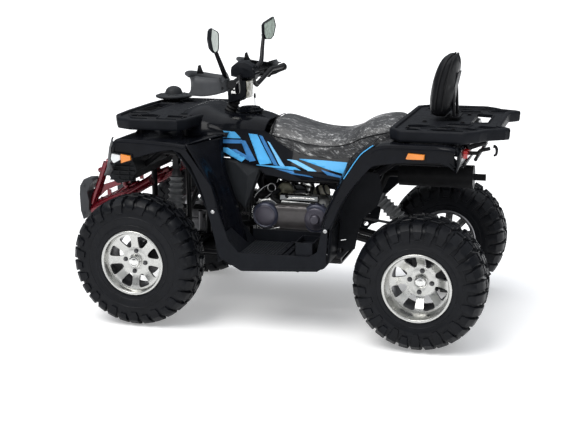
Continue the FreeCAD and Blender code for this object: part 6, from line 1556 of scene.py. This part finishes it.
def engine():
    case = rounded([(150, 545), (-58, 545), (-100, 520), (-104, 350), (-84, 335), (128, 335), (150, 356)], 10, 4)
    bm = prism(None, case, -97, 97)
    prism(bm, [(x * 1.02 - 1, 440 + (z - 440) * 1.03) for x, z in case], -4, 4)
    prism(bm, rounded([(-98, 512), (-150, 505), (-177, 470), (-177, 372), (-150, 350), (-98, 350)], 10, 4), -84, 97)
    for side in SIDES:
        for x in range(-86, 115, 40):
            block(bm, (x, 94 * side, 344), (x + 6, 101 * side, 372), 2)
        for x, z in ((138, 532), (60, 536), (-40, 536), (138, 350), (30, 343), (-80, 343), (142, 440)):
            spin([(0, 0), (8, 0), (8, 8), (0, 8)], (x, 92 * side, z), (0, side, 0), 14, bm=bm)
            bolt(bm, (x, 100 * side, z), (0, side, 0), 5.5, 4, washer=False)
    piece(bm, "crankcase", "chassis", "engine_alloy", "engine_dark", "engine", angle=40, bevel=2.2)
    fins = [(162 + 13.5 * k, 165.2 + 13.5 * k, 69, 16) for k in range(10)]
    bm = bmesh.new()
    for low, high, half, r in [(150, 318, 52, 12), *fins, (298, 306, 62, 14), (306, 322, 50, 14)]:
        prism(bm, rounded(rect(-half, 473 - half, half, 473 + half), r, 4), low, high, plane="YZ")
    for side in SIDES:
        for z in (424, 522):
            bolt(bm, (306, 50 * side, z), (1, 0, 0), 6, 7)
    piece(bm, "cylinder", "chassis", "engine_alloy", "engine_dark", bevel=0.8)
    bm = spin([(0, 0), (9, 0), (9, 16), (7, 18), (7, 40), (5, 44), (0, 44)], (280, 52, 478), (0.2, 1, 0.1), 18)
    sweep_tube(bm, smooth_line([(289, 92, 482), (286, 104, 500), (262, 96, 540), (222, 60, 568), (170, 40, 590)], 6),
               3.4, 8)
    piece(bm, "spark_lead", "chassis", "rubber_black", "rubber", angle=50)

    # cooling fan and its shroud on the right
    fan = (71, 473)
    bm = spin([(0, 0), (86, 0), (88, 4), (88, 26), (84, 34), (76, 38), (70, 38), (68, 30), (66, 22), (20, 22), (18, 32),
               (0, 34)], (fan[0], -100, fan[1]), RIGHT, 56)
    for r in range(26, 67, 10):
        torus(bm, (fan[0], -134, fan[1]), LEFT, r, 1.8, 48, 8)
    for (x0, z0), (x1, z1) in zip(circle(12, 18, fan), circle(12, 72, fan)):
        bar(bm, (x0, -133, z0), (x1, -134, z1), 2.4, 8)
    piece(bm, "fan_shroud", "chassis", "dark_plastic", "plastic", angle=38)
    bm = bmesh.new()
    for a, b in zip(circle(9, 24, fan), circle(9, 62, fan, math.tau * 0.05)):
        bm.faces.new([bm.verts.new((x, y, z)) for (x, z), y in ((a, -123), (b, -123), (b, -128), (a, -129))])
    piece(bm, "fan_blades", "chassis", "engine_alloy", "engine", thick=1.6)
    bm = spin([(0, 0), (24, 0), (27, 3), (27, 8), (24, 11), (0, 11)], (-150, -86, 390), RIGHT, 28)
    bar(bm, (-150, -70, 390), (-150, -112, 390), 13, 20)
    bolt(bm, (-150, -112, 390), RIGHT, 11, 7)
    piece(bm, "drive_hub", "chassis", "engine_alloy", "dark_steel", bevel=0.6)


engine()


def belt_drive():
    """The belt case on the left: a bolted flange, a middle cover, the round drum ends and a cooling duct."""
    crank, clutch = (CRANK[0], 158, CRANK[1]), (CLUTCH[0], 158, CLUTCH[1])
    bm = prism(None, discs_outline(CRANK, 58, CLUTCH, 56), 97, 146)
    prism(bm, discs_outline(CRANK, 64, CLUTCH, 61), 143, 151)
    for k, (x, z) in enumerate(discs_outline(CRANK, 61, CLUTCH, 58, 8)):
        if k not in (3, 5, 12, 14):
            boss(bm, (x, 140, z), LEFT, 7.5, 13)
            bolt(bm, (x, 153, z), LEFT, 4.6, 4.5, washer=False)
    ring = (CRANK[0] + 3, CRANK[1] + 3)
    spin([(57, 0), (67, 0), (69, 3), (69, 12), (66, 16), (57, 16)], (ring[0], 150, ring[1]), LEFT, 48, closed=True,
         bm=bm)
    for x, z in circle(9, 67, ring, 0.4):
        boss(bm, (x, 150, z), LEFT, 6.5, 17)
        bolt(bm, (x, 167, z), LEFT, 4.4, 4, washer=False)
    piece(bm, "belt_case", "chassis", "engine_alloy", "polished", bevel=0.8)
    bm = loft([[(x, y, z) for y, z in ((148, 404 - grow), (180, 404 - grow), (187, 410), (190, 440), (190, 480),
                                       (188, 496), (180, 506 + grow), (164, 510 + grow), (148, 510 + grow))]
               for x, grow in ((50, -4), (44, 0), (20, 2), (-40, 3), (-90, 3), (-112, 0))], closed=True, cap=True)
    for x in (-8, -64):
        block(bm, (x, 180, 503), (x + 40, 187, 511), 3)
    piece(bm, "belt_cover_mid", "chassis", "engine_alloy", "brown_cover", "belt_cover", angle=55)
    bm = spin([(0, 0), (59, 0), (60, 3), (60, 30), (58, 36), (53, 41), (49, 43), (47, 41.5), (46, 41)], crank, LEFT, 72)
    spin([(0, 0), (64, 0), (66, 3), (66, 20), (63, 26), (56, 30), (50, 31)], clutch, LEFT, 72, bm=bm)
    for t in (math.radians(20 + 24 * k) for k in range(7)):
        boss(bm, (CLUTCH[0] + 66 * math.cos(t), 158, CLUTCH[1] + 66 * math.sin(t)), LEFT, 6, 19, 12)
    piece(bm, "drum_rims", "chassis", "cover_blue", "blue_cover", angle=38)
    bm = spin([(46, 41), (44, 42.5), (30, 44), (12, 44.6), (0, 44.6)], crank, LEFT, 72)
    spin([(50, 31), (49, 33), (45, 36), (24, 38.5), (22.5, 37.5), (21.5, 37.5), (21, 40), (20, 50), (17, 53),
          (0, 53.5)], clutch, LEFT, 72, bm=bm)
    piece(bm, "drum_faces", "chassis", "cover_blue", "cover_face", angle=38)
    bm = bmesh.new()
    for y, z, r in ((176, 541, 5.5), (162, 549, 6.0)):
        sweep_tube(bm, smooth_line([(-12, y, z - 3), (-40, y, z + 1), (-90, y, z + 2), (-136, y, z)], 5), r, 14)
    loft([[(x, y, z) for y, z in ((120, 530), (130, 556), (154, 560), (176, 552), (182, 534))]
          for x in (20, -40, -100, -150)], bm=bm)
    piece(bm, "duct_top", "chassis", "engine_alloy", "polished", angle=40)
    dome = spin([(0, 0), (58, 0), (60, 4), (58, 12), (48, 26), (30, 34), (0, 36)],
                (CLUTCH[0] - 4, 120, CLUTCH[1] + 40), (-0.1, 0.9, 0.35), 48)
    piece(dome, "clutch_dome", "chassis", "engine_alloy", "engine", angle=45)


belt_drive()


def tubes(runs, n, samples, bm=None):
    """Round tubes, each smoothed through its points."""
    bm = bm or bmesh.new()
    for points, r in runs:
        sweep_tube(bm, smooth_line(points, samples), r, n)
    return bm


def carburettor():
    """Air box, elbow, carburettor and the cream filter in its strap, with hoses round them."""
    bm = prism(None, rounded([(-122, 566), (-122, 700), (-140, 709), (-205, 709), (-220, 694), (-220, 578),
                              (-206, 564)], 8, 4), -67, 67)
    for x in range(-214, -147, 22):
        block(bm, (x, -69, 575), (x + 6, 69, 700), 2)
    piece(bm, "air_box", "chassis", "dark_plastic", "plastic", "intake", bevel=3)
    bm = tubes([([(30, 24, 548), (26, 40, 590), (2, 56, 618), (-34, 62, 616), (-64, 62, 596)], 17)], 20, 7)
    collar = [(0, -5), (28, -5), (30, -2), (30, 3), (28, 5), (0, 5)]
    for profile, centre, axis, n in (
            (collar, (30, 26, 552), (0, 0.2, 1), 24), (collar, (-58, 62, 600), (-0.8, 0, -0.55), 24),
            ([(0, -22), (22, -22), (26, -18), (26, 14), (22, 20), (0, 20)], (-78, 62, 586), (-0.8, 0, -0.45), 28),
            ([(0, 0), (24, 0), (26, 3), (26, 12), (22, 20), (12, 26), (0, 27)], (-74, 66, 602), (0.1, 0.55, 0.8), 30),
            ([(0, 0), (15, 0), (15, 22), (12, 26), (0, 26)], (-84, 68, 572), (0, 0.5, -0.9), 22)):
        spin(profile, centre, axis, n, bm=bm)
    piece(bm, "carburettor", "chassis", "engine_alloy", "polished", angle=38)
    tipped = (0, 1, 0.1)
    bm = spin([(0, 0), (36, 0), (38, 3), (38, 12), (35, 16), (28, 18), (9, 19), (8, 24), (0, 24)], (18, 92, 556),
              tipped, 40)
    for x, z in circle(6, 31, (18, 557), 0.3):
        bolt(bm, (x, 109, z), tipped, 3.4, 3, washer=False)
    block(bm, (-20, 60, 545), (60, 92, 560), 3)
    piece(bm, "starter_cover", "chassis", "engine_alloy", "olive", angle=38, bevel=0.8)
    filter_axis = (-0.9, 0.1, 0.42)
    bm = spin([(0, -36), (20, -36), (26, -32), (29, -22), (30, 0), (29, 20), (25, 30), (19, 34), (0, 34)],
              (-142, 84, 556), filter_axis, 36)
    piece(bm, "air_filter", "chassis", "seat_vinyl", "cream", angle=50)
    bm = spin([(29.5, -6), (32, -6), (32, 6), (29.5, 6)], (-140, 84, 557), filter_axis, 36, closed=True)
    spin([(26, 24), (28.5, 24), (28.5, 31), (24, 31)], (-142, 84, 556), filter_axis, 36, closed=True, bm=bm)
    tubes([([(-100, 70, 590), (-108, 92, 570), (-112, 104, 540), (-108, 116, 512)], 6.5),
           ([(40, 120, 560), (62, 146, 548), (54, 158, 528), (26, 156, 516)], 10),
           ([(10, 130, 545), (-4, 168, 548), (-24, 172, 534)], 9),
           ([(-86, 88, 548), (-94, 130, 556), (-120, 150, 548), (-160, 120, 530)], 4.5),
           ([(120, 60, 545), (128, 90, 590), (100, 120, 640), (60, 130, 664)], 5.5),
           ([(-30, 90, 562), (-20, 120, 600), (-40, 140, 640), (-60, 120, 672)], 4.5),
           ([(-60, 76, 612), (-64, 100, 640), (-90, 120, 660), (-130, 110, 668)], 5)], 12, 7, bm)
    for centre, axis in (((47, 155, 541), (0.3, 0.2, -1)), ((30, 157, 519), (1, 0, 0.3))):
        torus(bm, centre, axis, 10.5, 1.6, 24, 8)
    piece(bm, "hoses", "chassis", "rubber_black", "rubber", angle=50)
    bm = bmesh.new()
    torus(bm, (73, 132, 574), tipped, 18, 2.6)
    tubes([([(58, 132, 563), (84, 140, 540), (112, 148, 520), (130, 150, 505)], 2.6),
           ([(86, 132, 587), (112, 134, 572), (140, 140, 545), (150, 146, 528)], 2.2)], 10, 6, bm)
    tubes([([(126, 150, 404), (110, 178, 398), (70, 186, 398), (20, 186, 408)], 3.0)], 10, 7, bm)
    tubes([([(120, 186, 420), (106, 190, 412), (84, 190, 412)], 4.5)], 12, 5, bm)
    bar(bm, (146, 186, 446), (122, 188, 444), 3.2, 10)
    piece(bm, "engine_rods", "chassis", "steel", "steel", angle=50)
    bm = bmesh.new()
    for x, z, w, h in ((170, 640, 15, 13), (190, 606, 10, 11), (150, 672, 20, 10), (-150, 640, 18, 20),
                       (60, 660, 30, 11)):
        block(bm, (x - w, 60, z - h), (x + w, 100, z + h), 3)
    tubes([([(170, 80, 640), (120, 96, 650), (60, 90, 650), (-20, 96, 660), (-110, 90, 650)], 6),
           ([(190, 80, 606), (186, 90, 560), (180, 70, 520)], 5)], 10, 6, bm)
    piece(bm, "wiring_blocks", "chassis", "dark_plastic", "plastic", angle=40, bevel=1)


carburettor()


# footwells

FLOOR_TOP = 349


def footwells():
    """The floor, its studs and bars, the apron, the heel box and the walls, on both sides."""
    apron = [(270, 541, 4), (221, 541, 4), (192, 385, 24), (128, 352, 20), (-186, 341, 14), (-215, 378, 10),
             (-235, 487, 4), (-264, 487, 4), (-252, 320, 24), (-226, 274, 20), (120, 272, 40), (216, 326, 30)]
    bm = prism(None, rounded(apron, 6, 6), 430, 440)
    block(bm, (-214, 206, 343), (146, 432, FLOOR_TOP), 2)
    prism(bm, [(134, 343), (196, 431), (190, 436), (128, 349)], 208, 432)
    prism(bm, [(-214, 345), (-246, 484), (-240, 486), (-208, 347)], 300, 432)
    block(bm, (-212, 204, 344), (140, 210, 402), 2)
    piece(mirror_y(bm), "footwell_shell", "chassis", "dark_plastic", "plastic", ("footwell_left", "footwell_right"),
          bevel=2.0, segments=3)
    bm = bmesh.new()
    for i in range(17):
        for j in range(14):
            x, y = 118 - 12.5 * i, 224 + 14.5 * j + (7.2 if i % 2 else 0)
            if y <= 424 and (x >= -96 or y <= 290):
                loft([[(x + a * w, y + b * l, FLOOR_TOP + h) for a, b in ((1, 0), (0, 1), (-1, 0), (0, -1))]
                      for w, l, h in ((4.6, 6.2, 0), (3.0, 4.4, 3.0))], closed=True, cap="last", bm=bm)
    piece(mirror_y(bm), "floor_studs", "chassis", "dark_plastic", "grey_plastic", angle=30)
    bm = bmesh.new()
    for x in (-52, -80):
        block(bm, (x - 10, 216, 348), (x + 10, 428, 357), 2)
        for y in (240, 330, 410):
            bolt(bm, (x, y, 357), (0, 0, 1), 4, 3, hexed=False)
    for low, high in (((-196, 300, 348), (-116, 304, 410)), ((-196, 424, 348), (-116, 429, 410)),
                      ((-120, 300, 348), (-116, 429, 410)), ((-196, 300, 348), (-192, 429, 410)),
                      ((-194, 302, 380), (-118, 427, 384))):
        block(bm, low, high, 1)
    for x, y in ((-176, 330), (-140, 360), (-170, 400)):
        bolt(bm, (x, y, 384), (0, 0, 1), 6, 6)
    prism(bm, rounded([(150, 356), (192, 420), (186, 425), (142, 360)], 2, 2), 240, 400)
    piece(mirror_y(bm), "heel_box", "chassis", "dark_plastic", "plastic", bevel=1.2)
    bm = bmesh.new()
    for side in SIDES:
        for x, z in ((240, 524), (-250, 470)):
            bolt(bm, (x, 441 * side, z), (0, side, 0), 5.5, 4, hexed=False)
    piece(bm, "apron_bolts", "chassis", "steel", "steel", angle=30)


footwells()


# dampers: foot, top, the pin's axis, the sleeve's radius at either end and its ribs

DAMPERS = [((505, 235, 300), (505, 175, 660), (1, 0, 0), 44, 33, 9),
           ((505, -235, 300), (505, -175, 660), (1, 0, 0), 44, 33, 9),
           ((-530, 0, 388), (-345, 0, 563), (0, 1, 0), 37, 31, 8)]


def dampers():
    """The ribbed sleeves and ends of the three dampers."""
    sleeves, ends = bmesh.new(), bmesh.new()
    for foot, top, pin, low_r, high_r, ribs in DAMPERS:
        run = Vector(top) - Vector(foot)
        length = run.length
        spin([(0, 20), (12, 20), (12, length - 20), (0, length - 20)], foot, run, 18, bm=sleeves)
        low, high = length * 0.22, length * 0.86
        profile = []
        for t in (k / (ribs * 8) for k in range(ribs * 8 + 1)):
            dip = 0.5 - 0.5 * math.cos(math.tau * t * ribs)
            profile.append((mix(low_r, high_r, t) - 9 * dip ** 0.7, mix(low, high, t)))
        spin([(10, low - 8), (low_r * 0.75, low - 8), (low_r * 0.8, low - 2), *profile, (high_r * 0.8, high + 4),
              (10, high + 10)], foot, run, 40, bm=sleeves)
        for p in (foot, top):
            spin([(6, -13), (13, -13), (14, -11), (14, 11), (13, 13), (6, 13)], p, pin, 22, closed=True, bm=ends)
            bolt(ends, Vector(p) + Vector(pin) * 13, pin, 8, 5)
        spin([(0, 8), (15, 8), (20, 16), (20, 44), (13, 50), (0, 50)], foot, run, 22, bm=ends)
        spin([(0, -50), (16, -50), (22, -44), (22, -30), (12, -10), (0, -8)], top, run, 22, bm=ends)
    piece(sleeves, "damper_sleeves", "chassis", "shock_grey", "sleeve", "shock_absorbers", angle=60)
    piece(ends, "damper_ends", "chassis", "steel", "dark_steel", angle=38)


dampers()


# materials of the CAD nodes that stay

CAD_FINISH = {"frame": "frame", "skid_plate": "frame", "engine": "engine", "belt_cover": "brown_cover",
              "intake": "plastic", "exhaust": "exhaust", "drive_chain": "dark_steel", "front_fender": "gloss",
              "nose_fascia": "grey_plastic", "headlamps": "clear", "indicators": "amber", "front_bumper": "red",
              "bumper_caps": "plastic", "front_rack": "plastic", "tank_cover": "gloss", "fuel_cap": "plastic",
              "side_panels": "gloss", "lower_panels": "grey_plastic", "seat": "pad", "rear_fender": "gloss",
              "tail_lamps": "tail", "rear_rack": "plastic", "backrest_bracket": "frame", "backrest_pad": "pad",
              "grab_bar": "frame", "footwell_left": "plastic", "footwell_right": "plastic", "swing_arm": "frame",
              "shock_absorbers": "shock", "front_arms": "frame", "steering_column": "frame", "handlebar": "frame",
              "grips": "rubber", "hand_guards": "plastic", "controls": "plastic", "instrument_pod": "plastic",
              "mirrors": "plastic", "tie_rod_left": "frame", "tie_rod_right": "frame", "knuckle_left": "dark_steel",
              "knuckle_right": "dark_steel", "tyre_front_left": "tyre", "tyre_front_right": "tyre",
              "rear_tyres": "tyre", "rim_front_left": "alloy", "rim_front_right": "alloy", "rear_rims": "alloy",
              "rear_axle": "dark_steel"}
for node, ob in frame["nodes"].items():
    ob.data.materials.clear()
    ob.data.materials.append(M[CAD_FINISH[node]])
